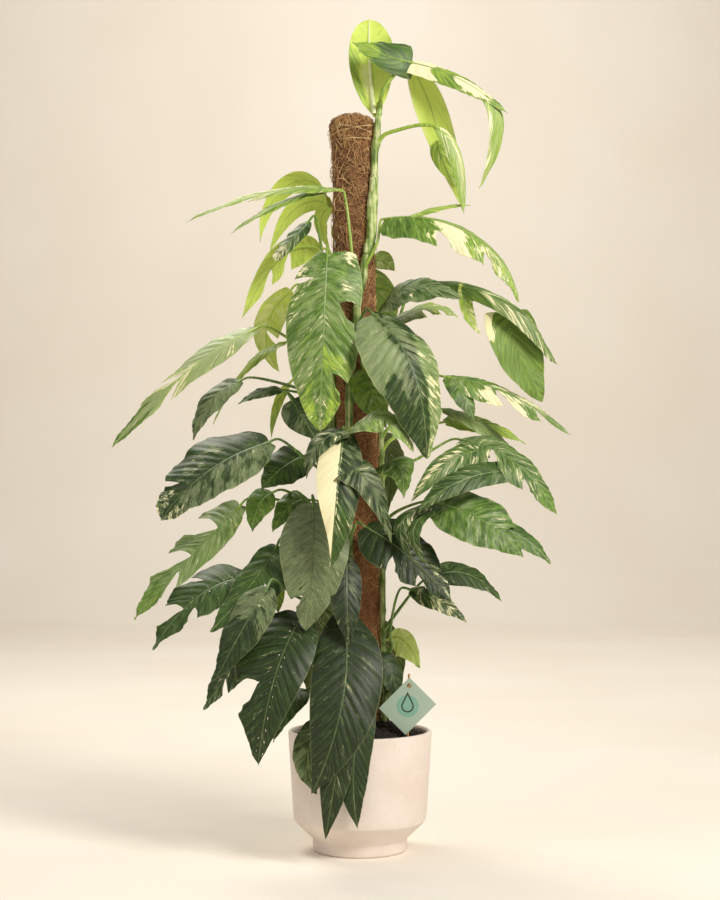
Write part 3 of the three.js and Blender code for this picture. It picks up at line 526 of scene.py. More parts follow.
def bladePanel(blade, side, low, high, cuts):  # the part of one half between two cuts
    half = blade.leaf["half"][0 if side < 0 else 1]
    steps = max(3, round((high - low) * blade.veins * bladeSize["stepsPerVein"]))
    rows = int(np.clip(round(half / bladeSize["rowSpacing"]), 6, 16))
    bpy.ops.mesh.primitive_grid_add(x_subdivisions=steps, y_subdivisions=rows, size=1)
    panel = bpy.context.active_object
    flat = corners(panel)
    s = low + (high - low) * np.clip(0.5 + side * flat[:, 0], 0, 1)
    t = np.clip(flat[:, 1] + 0.5, 0, 1)
    points, out = blade.surface(side, s, t, cuts)
    place(panel, points * mm)
    count = blade.veinCount(s, t)
    along = count / blade.veins * blade.length / 10
    outward = side * t * half / 10
    mark(panel, "streak", np.column_stack([along, outward, np.full_like(s, blade.seed)]))
    hidden = 5 * (blade.leaf["ribSize"] < 0.5)  # mm, which keeps the midrib's line off a lobe without one
    mark(panel, "vein", np.column_stack([count, out + hidden, t]))
    mark(panel, "pinhole", np.full_like(s, blade.leaf["pinholes"]))
    mark(panel, "tissue", blade.tissue(side, s, t))
    return panel


def bladePieces(blade):  # the thin sheet and the rib under it
    panels = []
    for side, key in ((-1, "cutsLeft"), (1, "cutsRight")):
        cuts = sorted(blade.leaf[key])
        marks = [0] + [cut[0] for cut in cuts] + [1]
        for i in range(len(marks) - 1):
            edges = [(cuts[j], edge) for j, edge in ((i - 1, 1), (i, -1)) if 0 <= j < len(cuts)]
            panels.append(bladePanel(blade, side, marks[i], marks[i + 1], edges))
    sheet = joined("sheet", panels)
    edit(sheet, bpy.ops.mesh.remove_doubles, threshold=0.02 * mm)
    sheet.data.materials.append(leafUpper)
    sheet.data.materials.append(leafUnder)
    finishWith(sheet, "SOLIDIFY", thickness=bladeSize["thickness"] * mm, offset=-1, material_offset=1)
    u = np.linspace(0, 0.97, 24)
    point, _, normal = blade.frameAt(u)
    radii = (1.7 * (1 - u) ** 0.8 * min(1, max(blade.leaf["half"]) / 30) + 0.25) * blade.leaf["ribSize"]
    rib = tubeAlong(point - normal * (0.4 * radii + 0.6)[:, None], radii, stalkSkin)
    markStalk(rib, 0.2 + 0.62 * blade.leaf["paint"][0], blade.leaf["ribPale"])
    return [sheet, rib]


# Stalks: radii at both ends, and how far they go out of the stem, up, and into the blade
stalk = {"atStem": 3, "atBlade": 1.8, "away": 14, "rise": 18, "arrive": 16, "light": 0.4}


def markStalk(piece, light, pale=0.0):
    mark(piece, "tissue", np.tile([pale, 0, light, 0], (len(piece.data.vertices), 1)))


def stalkPoints(blade, start, via, size):
    (base, inside), _, normals = blade.frameAt(np.array([0, 0.05]))
    reach = np.linalg.norm(base - start)
    away = unit(start - poleAxis(start[2]))
    rise = start + away * min(size["away"], reach / 4) + np.array([0, 0, min(size["rise"], reach / 4)])
    arrive = base + unit(base - inside) * min(size["arrive"], reach / 4)
    stops = [start, rise] + [seenAt(spot) for spot in via] + [arrive, base, inside - normals[1] * 0.8]
    return through(stops, 34)


def leafPieces(leaf, start):  # the blade, its lobes, its stalk, and the smaller leaves beside it
    blades = [Blade(one) for one in [leaf] + leaf.get("lobes", [])]
    pieces = [piece for blade in blades for piece in bladePieces(blade)]
    size = stalk | leaf.get("stalk", {})
    points = stalkPoints(blades[0], start, leaf.get("via", []), size)
    along = np.linspace(0, 1, len(points))
    knee = 1 + 0.22 * np.exp(-(((along - 0.9) / 0.05) ** 2)) + 0.35 * np.exp(-((along / 0.06) ** 2))
    width = size["atStem"] + (size["atBlade"] - size["atStem"]) * np.minimum(1, 1.4 * along)
    stem = tubeAlong(points, width * knee, stalkSkin)
    markStalk(stem, stalk["light"] + 0.45 * blades[0].leaf["paint"][0])
    pieces.append(stem)
    for other in leaf.get("beside", []):
        pieces += leafPieces(other, start)
    return pieces


# The pole's line and the vines: [height, degrees round the pole, mm off it]
pole = {"radius": 29, "footX": 5.8, "leanPerMm": -0.0166}
internode = 76
vines = {
    "main": {
        "radius": 6.2,
        "climb": [
            [120, -28, 2], [420, -24, 1], [650, -17, 1], [785, 4, 1], [850, 24, 1],
            [900, 47, 1], [1015, 62, 1.5], [1050, 64, 6], [1096, 68, 9],
        ],
    },
    "right": {"radius": 5, "climb": [[120, 60, 2], [300, 68, 1], [560, 92, 1], [720, 96, 1]]},
    "left": {"radius": 5.2, "climb": [[120, -95, 2], [400, -84, 1], [640, -80, 1], [860, -72, 1]]},
    "back": {"radius": 5.6, "climb": [[120, 170, 2], [500, 184, 1], [900, 176, 1]]},
}


def poleAxis(z):
    return np.array([pole["footX"] + pole["leanPerMm"] * z, 0, z])


def vineAt(vine, z):  # the degrees and mm off the pole at a height
    keys = vine["climb"]
    i = next((k for k in range(1, len(keys)) if keys[k][0] >= z), len(keys) - 1)
    (z0, a0, d0), (z1, a1, d1) = keys[i - 1], keys[i]
    t = ease(z, z0, z1)
    return a0 + (a1 - a0) * t, pole["radius"] + vine["radius"] + d0 + (d1 - d0) * t


def vinePoint(vine, z):
    turn, off = vineAt(vine, z)
    return poleAxis(z) + direction(turn, 0) * off


# Leaves, from the top down on each side; "start" is the height of the stalk on its vine
leaves = {
    "top_spear": dict(
        kind="young", vine="main", start=1072, look=[180, 8], half=[31, 36], peak=0.6, foot=0.06, blunt=0.5,
        relief=0.6, sweep=0.25, ribSize=1.9, ribPale=0.9, paint=[1, 0.05, 0.08, 0],
        areas=[[-1, 0.05, 0.5, 0.08, 0.34, "cream"], [-1, 0.1, 0.6, 0.5, 1, "lime"]],
        rib=[[374, 114, -14], [370, 66, -12], [369, 20, -4]],
    ),
    "top_arching": dict(
        kind="cream", vine="main", start=1076, look=[10, 34], half=[19, 15], fold=-8, foot=0.9,
        paint=[0.59, 0.1, 0.02, 0], areas=[[0, 0, 0.22, 0, 1, "cream"], [0, 0.45, 0.78, 0, 0.85, "cream"]],
        via=[[381, 97, -40], [386, 85, -42], [395, 74, -42]],
        stalk={"atStem": 3.6, "atBlade": 2.5, "away": 3, "rise": 12, "arrive": 8},
        rib=[[408, 62, -36], [458, 78, -54], [508, 113, -62]],
        lobes=[
            dict(look=[-6, 16], half=[27, 26], peak=0.12, foot=1, blunt=1.1, relief=0.5, sweep=0.4,
                 paint=[0.65, 0.02, 0, 0], areas=[[0, 0, 0.5, 0, 1, "deep"]],
                 rib=[[412, 62, -38], [382, 54, -50], [352, 42, -48]]),
            dict(look=[170, 10], half=[23, 23], fold=2, peak=0.46, foot=0.2, relief=0.8, sweep=0.3,
                 paint=[1, 0.02, 0.04, 0],
                 areas=[[0, 0, 1, 0.8, 1, "pale"], [0, 0.6, 1, 0, 0.3, "marbled"]],
                 rib=[[411, 64, -32], [436, 122, -8], [464, 212, 0]]),
            dict(look=[170, 10], half=[18, 15], foot=0.3, relief=0.6, sweep=0.3,
                 paint=[0.71, 0.1, 0.06, 0.6], rib=[[438, 141, -14], [443, 160, -10], [456, 186, -4]]),
            dict(look=[30, 15], half=[14, 12], foot=0.7, sweep=0.3, paint=[0.69, 0.6, 0.06, 0],
                 areas=[[-1, 0, 1, 0.6, 1, "pale"]],
                 rib=[[484, 94, -56], [498, 130, -62], [479, 189, -60]]),
        ],
    ),
    "upper_right_1": dict(
        kind="marbled", vine="main", start=1026, look=[10, 22], half=[13, 10], sweep=0.3,
        paint=[0.67, 0.7, 0.2, 0], areas=[[1, 0.05, 0.6, 0.2, 0.8, "pale"], [-1, 0.3, 0.9, 0.4, 1, "lime"]],
        via=[[398, 130, -30], [420, 125, -36]], stalk={"atStem": 3.2, "atBlade": 2.8, "arrive": 3},
        rib=[[436, 127, -40], [453, 148, -44], [461, 180, -48], [464, 214, -50]],
    ),
    "upper_right_2": dict(
        kind="cream", vine="main", start=842, look=[10, 44], half=[40, 13], fold=-10, foot=[0.75, 0.4],
        paint=[0.66, 0.45, 0.15, 0],
        areas=[[-1, 0, 0.3, 0, 1, "green"], [-1, 0.32, 0.48, 0, 1, "cream"],
               [-1, 0.56, 0.76, 0.1, 0.9, "pale"], [1, 0.3, 0.8, 0, 1, "grey"]],
        via=[[377, 243, -38]], stalk={"away": 3, "rise": 6, "arrive": 6},
        rib=[[385, 219, -28], [436, 220, -56], [488, 247, -74], [519, 302, -80]],
        cutsLeft=[[0.32, 0.42, 0.08], [0.62, 0.42, 0.05]],
        lobes=[
            dict(look=[0, 50], half=[7, 6], foot=0.8, paint=[0.71, 0.2, 0.05, 0],
                 rib=[[408, 218, -43], [438, 208, -46], [471, 205, -40]]),
        ],
    ),
    "upper_left_1": dict(
        kind="marbled", vine="main", start=792, look=[0, 60], half=[17, 13], paint=[0.67, 0.4, 0.16, 0],
        areas=[[-1, 0.2, 0.9, 0.72, 1, "cream"]], via=[[353, 264, -54], [350, 234, -56], [347, 208, -54]],
        stalk={"arrive": 3}, rib=[[341, 190, -46], [266, 193, -72], [186, 222, -80]],
        cutsRight=[[0.5, 0.42, 0.05]],
        lobes=[
            dict(look=[0, 55], half=[9, 10], foot=0.9, paint=[0.68, 0.4, 0.05, 0],
                 rib=[[324, 190, -51], [276, 205, -62], [230, 234, -60]]),
        ],
    ),
    "upper_left_lime_1": dict(
        kind="young", vine="back", start=868, look=[150, 40], half=[17, 17], foot=0.8,
        paint=[1, 0.05, 0.04, 0], via=[[333, 236, 36]],
        rib=[[332, 206, 38], [306, 180, 56], [276, 196, 72], [260, 242, 80]],
        lobes=[
            dict(look=[150, 30], half=[15, 14], foot=0.9, paint=[1, 0.05, 0.04, 0],
                 rib=[[330, 204, 38], [296, 208, 56], [270, 252, 64]]),
            dict(look=[150, 30], half=[13, 12], foot=0.9, paint=[1, 0.05, 0.04, 0],
                 rib=[[332, 206, 38], [321, 221, 48], [330, 250, 52]]),
        ],
    ),
    "upper_left_dark": dict(
        vine="left", start=784, look=[-25, 42], half=[17, 15], blunt=0.4,
        paint=[0.34, 0.5, 0.08, 0], areas=[[0, 0.68, 1, 0, 1, "pale"], [0, 0, 0.3, 0.3, 1, "mossy"]],
        via=[[322, 252, -34], [319, 234, -38]], rib=[[308, 222, -38], [293, 238, -50], [274, 260, -52]],
    ),
    "upper_left_lime_2": dict(
        kind="young", vine="left", start=812, look=[165, 42], half=[26, 22], paint=[0.94, 0.3, 0.08, 0],
        rib=[[319, 248, -8], [280, 259, -4], [242, 318, 6]], cutsLeft=[[0.38, 0, 0.08], [0.62, 0, 0.08]],
    ),
    "upper_left_lime_3": dict(
        kind="young", vine="left", start=746, look=[-160, 10], half=[24, 22], foot=0.6,
        paint=[1, 0.1, 0.34, 0], areas=[[0, 0.1, 0.6, 0.3, 0.9, "pale"], [1, 0.4, 0.9, 0, 0.7, "cream"]],
        via=[[306, 300, 18]], rib=[[290, 291, 28], [266, 330, 48], [279, 372, 56]],
        cutsLeft=[[0.5, 0, 0.07]],
        beside=[
            dict(look=[-10, 20], half=[8, 7], paint=[0.82, 0.1, 0.02, 0],
                 rib=[[289, 384, 4], [277, 406, 2], [271, 438, 2]]),
        ],
    ),
    "front_tall": dict(
        kind="marbled", vine="left", start=720, look=[-4, 18], half=[56, 54], fold=5, peak=0.34,
        foot=[0.3, 0.78], blunt=0.75, paint=[0.48, 0.55, 0.08, 0.1],
        areas=[[1, 0, 0.06, 0.7, 1, "pale"], [1, 0.3, 0.48, 0.6, 1, "streaks"],
               [-1, 0.1, 0.24, 0.7, 1, "pale"], [-1, 0.25, 0.5, 0.1, 0.7, "streaks"],
               [1, 0.5, 0.62, 0, 1, "lime"], [0, 0.68, 1, 0.4, 1, "lime"],
               [0, 0.8, 1, 0, 0.3, "marbled"]],
        via=[[330, 300, -52], [328, 270, -60]], rib=[[327, 254, -76], [323, 342, -106], [320, 431, -102]],
        cutsLeft=[[0.12, 0.42, 0.03]], cutsRight=[[0.24, 0.42, 0.1], [0.62, 0.42, 0.06]],
    ),
    "front_silver": dict(
        kind="marbled", vine="main", start=690, look=[14, 28], half=[58, 46], fold=-4, foot=[0.5, 0.12],
        blunt=0.8, relief=2.3, paint=[0.17, 0.22, 0, 0.1],
        # The part near the stalk is painted light and silvery: the leaf's grey with a painted sheen on it.
        areas=[[-1, 0, 0.42, 0.12, 1, "misted"], [-1, 0.42, 0.66, 0.05, 0.45, "silvered"],
               [1, 0, 0.4, 0, 0.5, "silvered"], [1, 0.22, 1, 0.42, 1, "mottled"]],
        rib=[[373, 314, -84], [413, 370, -135], [427, 459, -120]],
    ),
    "right_dark_1": dict(
        vine="main", start=742, look=[10, 42], half=[36, 26], paint=[0.26, 0.6, 0.03, 0.1],
        areas=[[-1, 0.3, 0.5, 0.5, 0.62, "pale"]], rib=[[382, 307, -46], [414, 286, -82], [466, 300, -92]],
    ),
    "right_pale_1": dict(
        kind="marbled", vine="right", start=690, look=[10, 48], half=[20, 18], paint=[0.69, 1.3, 0.12, 0],
        areas=[[0, 0.4, 0.7, 0.4, 1, "marbled"]], rib=[[394, 322, -26], [428, 308, -42], [458, 317, -46]],
        cutsLeft=[[0.4, 0, 0.09], [0.66, 0, 0.08]],
    ),
    "right_long": dict(
        kind="marbled", vine="right", start=712, look=[14, 34], half=[17, 15], fold=-12,
        paint=[0.43, 0.45, 0.12, 0], areas=[[-1, 0, 0.25, 0, 1, "green"], [0, 0.28, 0.9, 0, 1, "marbled"]],
        rib=[[424, 284, -10], [478, 290, -20], [520, 314, -36], [544, 344, -36], [558, 364, -30]],
        lobes=[
            dict(look=[-150, 12], half=[12, 11], foot=0.9, paint=[0.75, 0.2, 0.3, 0],
                 rib=[[464, 286, -12], [467, 312, -22], [480, 334, -24]]),
            dict(look=[-165, 14], half=[38, 37], foot=[0.85, 0.9], blunt=0.8, relief=0.8, sweep=0.3,
                 ribSize=0.1, paint=[0.43, 0, 0, 0], areas=[[1, 0, 0.2, 0.6, 1, "cream"]],
                 rib=[[506, 313, -14], [518, 351, -24], [542, 402, -24]]),
        ],
    ),
    "right_cream": dict(
        kind="cream", vine="right", start=640, look=[16, 36], half=[26, 13], fold=-2,
        paint=[0.49, 0.4, 0.12, 0],
        areas=[[-1, 0.26, 0.55, 0.35, 1, "cream"], [-1, 0.26, 0.7, 0, 0.35, "pale"],
               [1, 0.3, 0.7, 0.3, 1, "pale"]],
        rib=[[446, 377, -16], [508, 394, -26], [571, 435, -30]], cutsLeft=[[0.4, 0, 0.08], [0.72, 0, 0.06]],
        lobes=[
            dict(look=[20, 25], half=[18, 16], foot=0.8, paint=[0.39, 0.4, 0.02, 0],
                 rib=[[452, 379, -20], [465, 398, -34], [474, 420, -36]]),
        ],
    ),
    "right_dark_2": dict(
        vine="right", start=600, look=[30, 46], half=[17, 15], paint=[0.58, 0.9, 0.06, 0],
        rib=[[444, 410, 8], [488, 430, 14], [524, 468, 20]],
    ),
    "right_small": dict(
        vine="right", start=580, look=[20, 45], half=[20, 18], paint=[0.7, 0.12, 0.04, 0],
        rib=[[446, 422, 30], [484, 424, 50], [526, 444, 64]],
    ),
    "right_marbled": dict(
        kind="marbled", vine="right", start=540, look=[16, 40], half=[36, 28], blunt=0.75,
        paint=[0.39, 0.4, 0.12, 0.2], areas=[[0, 0.8, 1, 0, 1, "green"], [0, 0.2, 0.5, 0, 1, "streaks"]],
        via=[[413, 461, -20]], rib=[[462, 440, -26], [512, 460, -64], [557, 514, -72]],
        cutsLeft=[[0.3, 0, 0.08], [0.62, 0.42, 0.05]],
        lobes=[
            dict(look=[20, 38], half=[20, 18], foot=0.9, paint=[0.37, 0.45, 0.14, 0],
                 areas=[[-1, 0, 1, 0.25, 0.7, "pale"], [1, 0, 1, 0.1, 0.4, "streaks"]],
                 rib=[[484, 449, -46], [446, 465, -94], [411, 502, -98]]),
            dict(look=[20, 38], half=[22, 20], foot=0.9, paint=[0.25, 0.35, 0.05, 0],
                 rib=[[514, 470, -66], [460, 481, -108], [418, 512, -114]]),
        ],
    ),
    "right_broad": dict(
        vine="right", start=470, look=[4, 34], half=[44, 42], foot=0.6,
        paint=[0.42, 0.42, 0.04, 0.25], areas=[[1, 0.3, 0.6, 0.3, 0.8, "streaks"]],
        rib=[[438, 503, -76], [486, 522, -112], [523, 557, -116]], cutsRight=[[0.66, 0.42, 0.07]],
        lobes=[
            dict(look=[10, 36], half=[19, 17], foot=0.9, paint=[0.38, 0.25, 0.04, 0],
                 rib=[[483, 521, -111], [522, 537, -104], [551, 564, -102]]),
            dict(look=[-30, 25], half=[13, 12], foot=0.9, paint=[0.28, 0.35, 0.1, 0],
                 rib=[[444, 505, -78], [414, 528, -112], [428, 566, -118]]),
            dict(look=[-30, 25], half=[14, 13], foot=0.9, paint=[0.22, 0.35, 0.12, 0],
                 rib=[[440, 504, -77], [402, 522, -102], [414, 560, -110]]),
        ],
    ),
    "front_right_dark": dict(
        vine="main", start=395, look=[14, 32], half=[44, 46], paint=[0.06, 0.15, 0.02, 0.3],
        areas=[[1, 0.6, 1, 0.3, 1, "streaks"]], rib=[[366, 527, -58], [408, 556, -88], [452, 602, -96]],
        cutsLeft=[[0.35, 0.42, 0.06], [0.62, 0.42, 0.06]],
    ),
    "low_right_striped": dict(
        kind="marbled", vine="right", start=278, look=[10, 40], half=[19, 17], paint=[0.22, 0.5, 0.26, 0.2],
        via=[[390, 634, -32]], rib=[[411, 590, -44], [438, 600, -58], [467, 622, -62]],
    ),
    "low_right_dark": dict(
        vine="right", start=318, look=[10, 40], half=[23, 21], paint=[0.24, 0.2, 0.02, 0.3],
        rib=[[432, 577, -4], [468, 574, 12], [502, 601, 26]],
    ),
    "low_right_pale": dict(
        kind="young", vine="right", start=255, look=[-140, 10], half=[16, 28], foot=[0.5, 0.7],
        paint=[0.95, 1.75, 0.25, 0], rib=[[391, 639, 10], [406, 643, 20], [420, 668, 24]],
    ),
    "low_right_folded": dict(
        vine="right", start=225, look=[20, 20], half=[20, 19], foot=0.6,
        paint=[0.12, 0.2, 0.04, 0.4], rib=[[379, 655, -34], [392, 674, -44], [398, 706, -44]],
    ),
    "front_cream": dict(
        kind="cream", vine="main", start=560, look=[4, 16], half=[31, 33], foot=0.5, blunt=[1.7, 0.7],
        relief=0.8, paint=[0.19, 0.5, 0.02, 0],
        areas=[[-1, 0.1, 1, 0, 1, "cream"], [1, 0.5, 0.98, 0, 1, "mossy"], [1, 0, 0.5, 0, 1, "dull"]],
        rib=[[343, 434, -96], [337, 492, -148], [330, 567, -140]],
        lobes=[
            dict(look=[10, 35], half=[28, 27], peak=0.12, foot=1, blunt=0.9, paint=[0.11, 0.5, 0.02, 0.1],
                 rib=[[342, 473, -122], [367, 480, -140], [392, 543, -132]]),
            dict(look=[-30, 30], half=[20, 17], foot=0.8, paint=[0.11, 0.5, 0.03, 0],
                 areas=[[0, 0.1, 0.7, 0.4, 0.9, "streaks"]],
                 rib=[[346, 431, -102], [319, 444, -120], [306, 479, -120]]),
        ],
    ),
    "front_streaked": dict(
        kind="marbled", vine="main", start=590, look=[10, 40], half=[26, 22], paint=[0.56, 1.2, 0.14, 0],
        areas=[[0, 0.1, 0.9, 0.2, 1, "streaks"]],
        rib=[[350, 430, -102], [384, 419, -126], [414, 452, -128]], cutsLeft=[[0.5, 0, 0.07]],
    ),
    "front_grey": dict(
        vine="left", start=424, look=[-6, 20], half=[50, 50], fold=8, blunt=0.85,
        paint=[0.14, 0.98, 0, 0.05], areas=[[-1, 0.58, 0.72, 0.35, 0.5, "streaks"]],
        rib=[[313, 504, -68], [313, 562, -108], [305, 630, -108]], cutsLeft=[[0.72, 0.42, 0.05]],
    ),
    "front_narrow": dict(
        vine="main", start=350, look=[10, 22], half=[24, 22], paint=[0.02, 0.2, 0, 0.1],
        rib=[[347, 556, -84], [347, 600, -114], [349, 645, -118]],
    ),
    "front_middle": dict(
        vine="main", start=470, look=[16, 40], half=[34, 32], paint=[0.46, 0.3, 0.04, 0.1],
        rib=[[373, 472, -52], [397, 464, -74], [404, 498, -78]],
    ),
    "inner_dark": dict(
        vine="right", start=655, look=[6, 25], half=[28, 26], paint=[0.58, 0.4, 0.02, 0.4],
        via=[[377, 384, -30]], rib=[[364, 370, -44], [373, 396, -54], [386, 428, -52]],
    ),
    "front_low_big": dict(
        vine="main", start=262, look=[2, 18], half=[48, 52], fold=4,
        paint=[0.04, 0.12, 0, 0.25], rib=[[345, 617, -76], [342, 704, -152], [312, 794, -160]],
    ),
    "low_hanging_left": dict(
        vine="left", start=238, look=[0, 14], half=[24, 23], paint=[0.05, 0.15, 0, 0.2],
        via=[[334, 694, -78]], rib=[[342, 706, -110], [336, 772, -138], [325, 839, -136]],
    ),
    "low_hanging_right": dict(
        vine="main", start=200, look=[14, 12], half=[28, 26], paint=[0.09, 0.15, 0.02, 0.25],
        rib=[[367, 690, -84], [354, 762, -120], [358, 828, -115]],
    ),
    "low_round": dict(
        vine="left", start=215, look=[-20, 12], half=[26, 20], paint=[0.26, 0.45, 0.02, 0.1],
        via=[[316, 704, -70]], rib=[[320, 720, -98], [308, 758, -112], [317, 794, -112]],
        beside=[
            dict(look=[-34, 20], half=[24, 22], paint=[0.24, 0.3, 0.02, 0.1],
                 rib=[[306, 690, -66], [287, 706, -84], [273, 742, -90]]),
        ],
    ),
    "low_left_big": dict(
        vine="left", start=300, look=[-10, 18], half=[66, 42], pinholes=1,
        paint=[0.09, 0.08, 0, 0.2], rib=[[303, 616, -76], [275, 676, -134], [258, 765, -136]],
        cutsLeft=[[0.5, 0.42, 0.12]],
    ),
    "low_left_striped": dict(
        kind="marbled", vine="left", start=270, look=[-30, 30], half=[32, 30], paint=[0.2, 0.4, 0.06, 0.2],
        rib=[[262, 634, -52], [232, 668, -78], [204, 710, -84]], cutsRight=[[0.62, 0, 0.05]],
    ),
    "low_left_grey": dict(
        vine="left", start=330, look=[-24, 24], half=[34, 32], paint=[0.11, 0.12, 0, 0.1],
        areas=[[0, 0, 0.34, 0, 1, "silvered"]], via=[[292, 594, -92]],
        rib=[[267, 588, -98], [242, 630, -120], [215, 681, -124]],
    ),
    "low_left_dark": dict(
        vine="left", start=380, look=[-20, 34], half=[32, 46], paint=[0.29, 0.15, 0, 0.1],
        rib=[[277, 546, -46], [250, 586, -76], [210, 632, -86]],
        cutsRight=[[0.36, 0.42, 0.08], [0.66, 0.42, 0.08]],
        beside=[
            dict(look=[-10, 20], half=[13, 12], paint=[0.62, 0.1, 0.06, 0.4],
                 rib=[[272, 572, -50], [277, 592, -56], [278, 613, -56]]),
        ],
    ),
    "left_ribbed": dict(
        vine="left", start=350, look=[-20, 42], half=[52, 38], relief=1.1, pinholes=1,
        paint=[0.24, 0.14, 0, 0.15], rib=[[246, 577, -28], [196, 598, -50], [153, 650, -62]],
        cutsLeft=[[0.3, 0.42, 0.03], [0.64, 0, 0.13]], cutsRight=[[0.5, 0.42, 0.08]],
    ),
    "left_lobed": dict(
        kind="marbled", vine="left", start=450, look=[-24, 40], half=[54, 30], paint=[0.5, 0.75, 0.08, 0.1],
        areas=[[0, 0.72, 1, 0, 1, "green"]], via=[[282, 501, -6]],
        rib=[[240, 506, -22], [191, 556, -42], [134, 619, -50]], cutsLeft=[[0.24, 0, 0.16], [0.5, 0, 0.14]],
        cutsRight=[[0.62, 0, 0.1]],
    ),
    "left_marbled": dict(
        kind="marbled", vine="left", start=530, look=[-18, 42], half=[70, 50], foot=0.36, blunt=0.7,
        paint=[0.15, 0.1, 0.02, 0.1],
        areas=[[1, 0, 0.8, 0.12, 1, "silvered"], [-1, 0.25, 0.6, 0.25, 0.6, "streaks"],
               [0, 0.75, 1, 0.3, 1, "marbled"]],
        via=[[306, 459, -60]], rib=[[269, 442, -54], [208, 471, -92], [161, 520, -100]],
        cutsLeft=[[0.66, 0.42, 0.03]],
    ),
    "left_round": dict(
        vine="left", start=512, look=[-14, 30], half=[36, 32], foot=0.6,
        paint=[0.27, 0.15, 0, 0.3], rib=[[304, 456, -14], [282, 468, -28], [261, 489, -30]],
    ),
    "left_inner": dict(
        vine="left", start=470, look=[-14, 34], half=[25, 22], paint=[0.48, 0.2, 0.02, 0.1],
        rib=[[272, 493, -36], [259, 505, -44], [252, 532, -46]],
        beside=[
            dict(look=[-10, 34], half=[25, 23], paint=[0.48, 0.2, 0.02, 0.1],
                 rib=[[309, 500, -32], [290, 506, -42], [272, 532, -44]]),
        ],
    ),
    "left_long": dict(
        kind="marbled", vine="left", start=690, look=[-20, 46], half=[30, 26], blunt=0.75,
        paint=[0.74, 1.5, 0.1, 0], areas=[[0, 0.44, 0.58, 0, 1, "pale"], [0, 0.7, 1, 0.5, 1, "green"]],
        rib=[[254, 330, -36], [188, 371, -50], [112, 447, -40]], cutsLeft=[[0.52, 0, 0.05]],
        cutsRight=[[0.55, 0, 0.06]],
    ),
    "left_grey": dict(
        vine="left", start=640, look=[-24, 36], half=[23, 21], paint=[0.16, 0.7, 0, 0],
        rib=[[240, 381, -30], [210, 402, -46], [193, 440, -48]],
        beside=[
            dict(look=[-20, 44], half=[13, 12], paint=[0.27, 0.3, 0.02, 0],
                 rib=[[282, 390, -18], [261, 392, -26], [238, 404, -28]]),
        ],
    ),
    "left_narrow": dict(
        vine="left", start=665, look=[-20, 58], half=[14, 13], paint=[0.77, 0.1, 0.02, 0],
        rib=[[284, 343, -8], [246, 368, 6], [213, 424, 30]],
    ),
    "left_shaded": dict(
        vine="left", start=590, look=[-14, 30], half=[26, 24], foot=0.6,
        paint=[0.23, 0.45, 0.02, 0], rib=[[292, 400, -40], [303, 418, -54], [317, 440, -56]],
    ),
}

# The leaves of the hidden side, on the back vine
backLeaves = [
    dict(start=830, look=[180, 25], half=[16, 15], paint=[0.6, 0.7, 0.1, 0],
         rib=[[373, 258, 44], [384, 261, 54], [395, 271, 56]]),
    dict(start=800, look=[176, 25], half=[44, 42], paint=[0.5, 0.3, 0.04, 0.1],
         rib=[[366, 270, 88], [372, 318, 152], [376, 384, 160]], cutsLeft=[[0.4, 0.42, 0.06]]),
    dict(start=640, look=[-160, 25], half=[40, 42], rib=[[342, 372, 84], [330, 410, 142], [322, 476, 152]],
         cutsRight=[[0.5, 0.42, 0.06]]),
    dict(start=560, look=[140, 28], half=[36, 38], rib=[[377, 430, 66], [388, 456, 112], [386, 514, 124]],
         cutsLeft=[[0.5, 0.42, 0.06]]),
    dict(start=440, look=[175, 25], half=[42, 40], rib=[[362, 500, 88], [362, 536, 150], [358, 600, 160]],
         cutsRight=[[0.4, 0.42, 0.06]]),
    dict(start=320, look=[-150, 24], half=[40, 42], rib=[[340, 590, 74], [318, 628, 124], [308, 696, 132]],
         cutsLeft=[[0.5, 0.42, 0.06]]),
    dict(start=270, look=[160, 24], half=[38, 40], rib=[[376, 620, 84], [384, 662, 128], [386, 724, 134]]),
]


# Vines: mm between rings, how long a joint's swelling is, and the roots at each joint
vineStem = {
    "step": 3, "joint": 5, "roots": 3, "rootRadius": 1.1, "rootSpread": (16, 48), "rootDrop": (-14, 26),
}
sheath = {"from": 868, "to": 985, "aside": -70, "off": 1.5, "swell": 1.1}  # dry, round the upper main vine


def skinFinish(name, stops, length=14, rough=0.42, wide=240):
    f = Finish(name)
    streak = f.noise(f.stretch(f.place(), (wide, wide, length)), 1, 4)
    patches = f.noise(f.place(), 38, 2)
    f.bump(streak, 0.5 * mm, 0.5)
    return f.set(Base_Color=f.ramp(streak * 0.55 + patches * 0.45, *stops), Roughness=streak * 0.25 + rough)


vineStripes = [(0.36, "#3a4f24"), (0.45, "#657f35"), (0.53, "#98a75e"), (0.58, "#cfd09c"), (0.66, "#829549")]
vineSkin = skinFinish("vineSkin", vineStripes, 9)
rootSkin = skinFinish("rootSkin", [(0.35, "#5b3f27"), (0.6, "#8d6a43")], 60, 0.7)
sheathStripes = [(0.38, "#4c6a2c"), (0.48, "#7f9a45"), (0.56, "#c3cb8c"), (0.64, "#e9e3bd")]
sheathSkin = skinFinish("sheathSkin", sheathStripes, 5, 0.5, 330)


def roughened(piece, amount, scale, stretch=(1, 1, 1)):  # corners pushed in and out by a smooth noise
    points = corners(piece)
    normals = np.empty(len(points) * 3, np.float32)
    piece.data.vertex_normals.foreach_get("vector", normals)
    push = [noise.noise(Vector(p * scale * stretch)) * amount for p in points]
    place(piece, points + normals.reshape(-1, 3) * np.array(push)[:, None])
    return piece


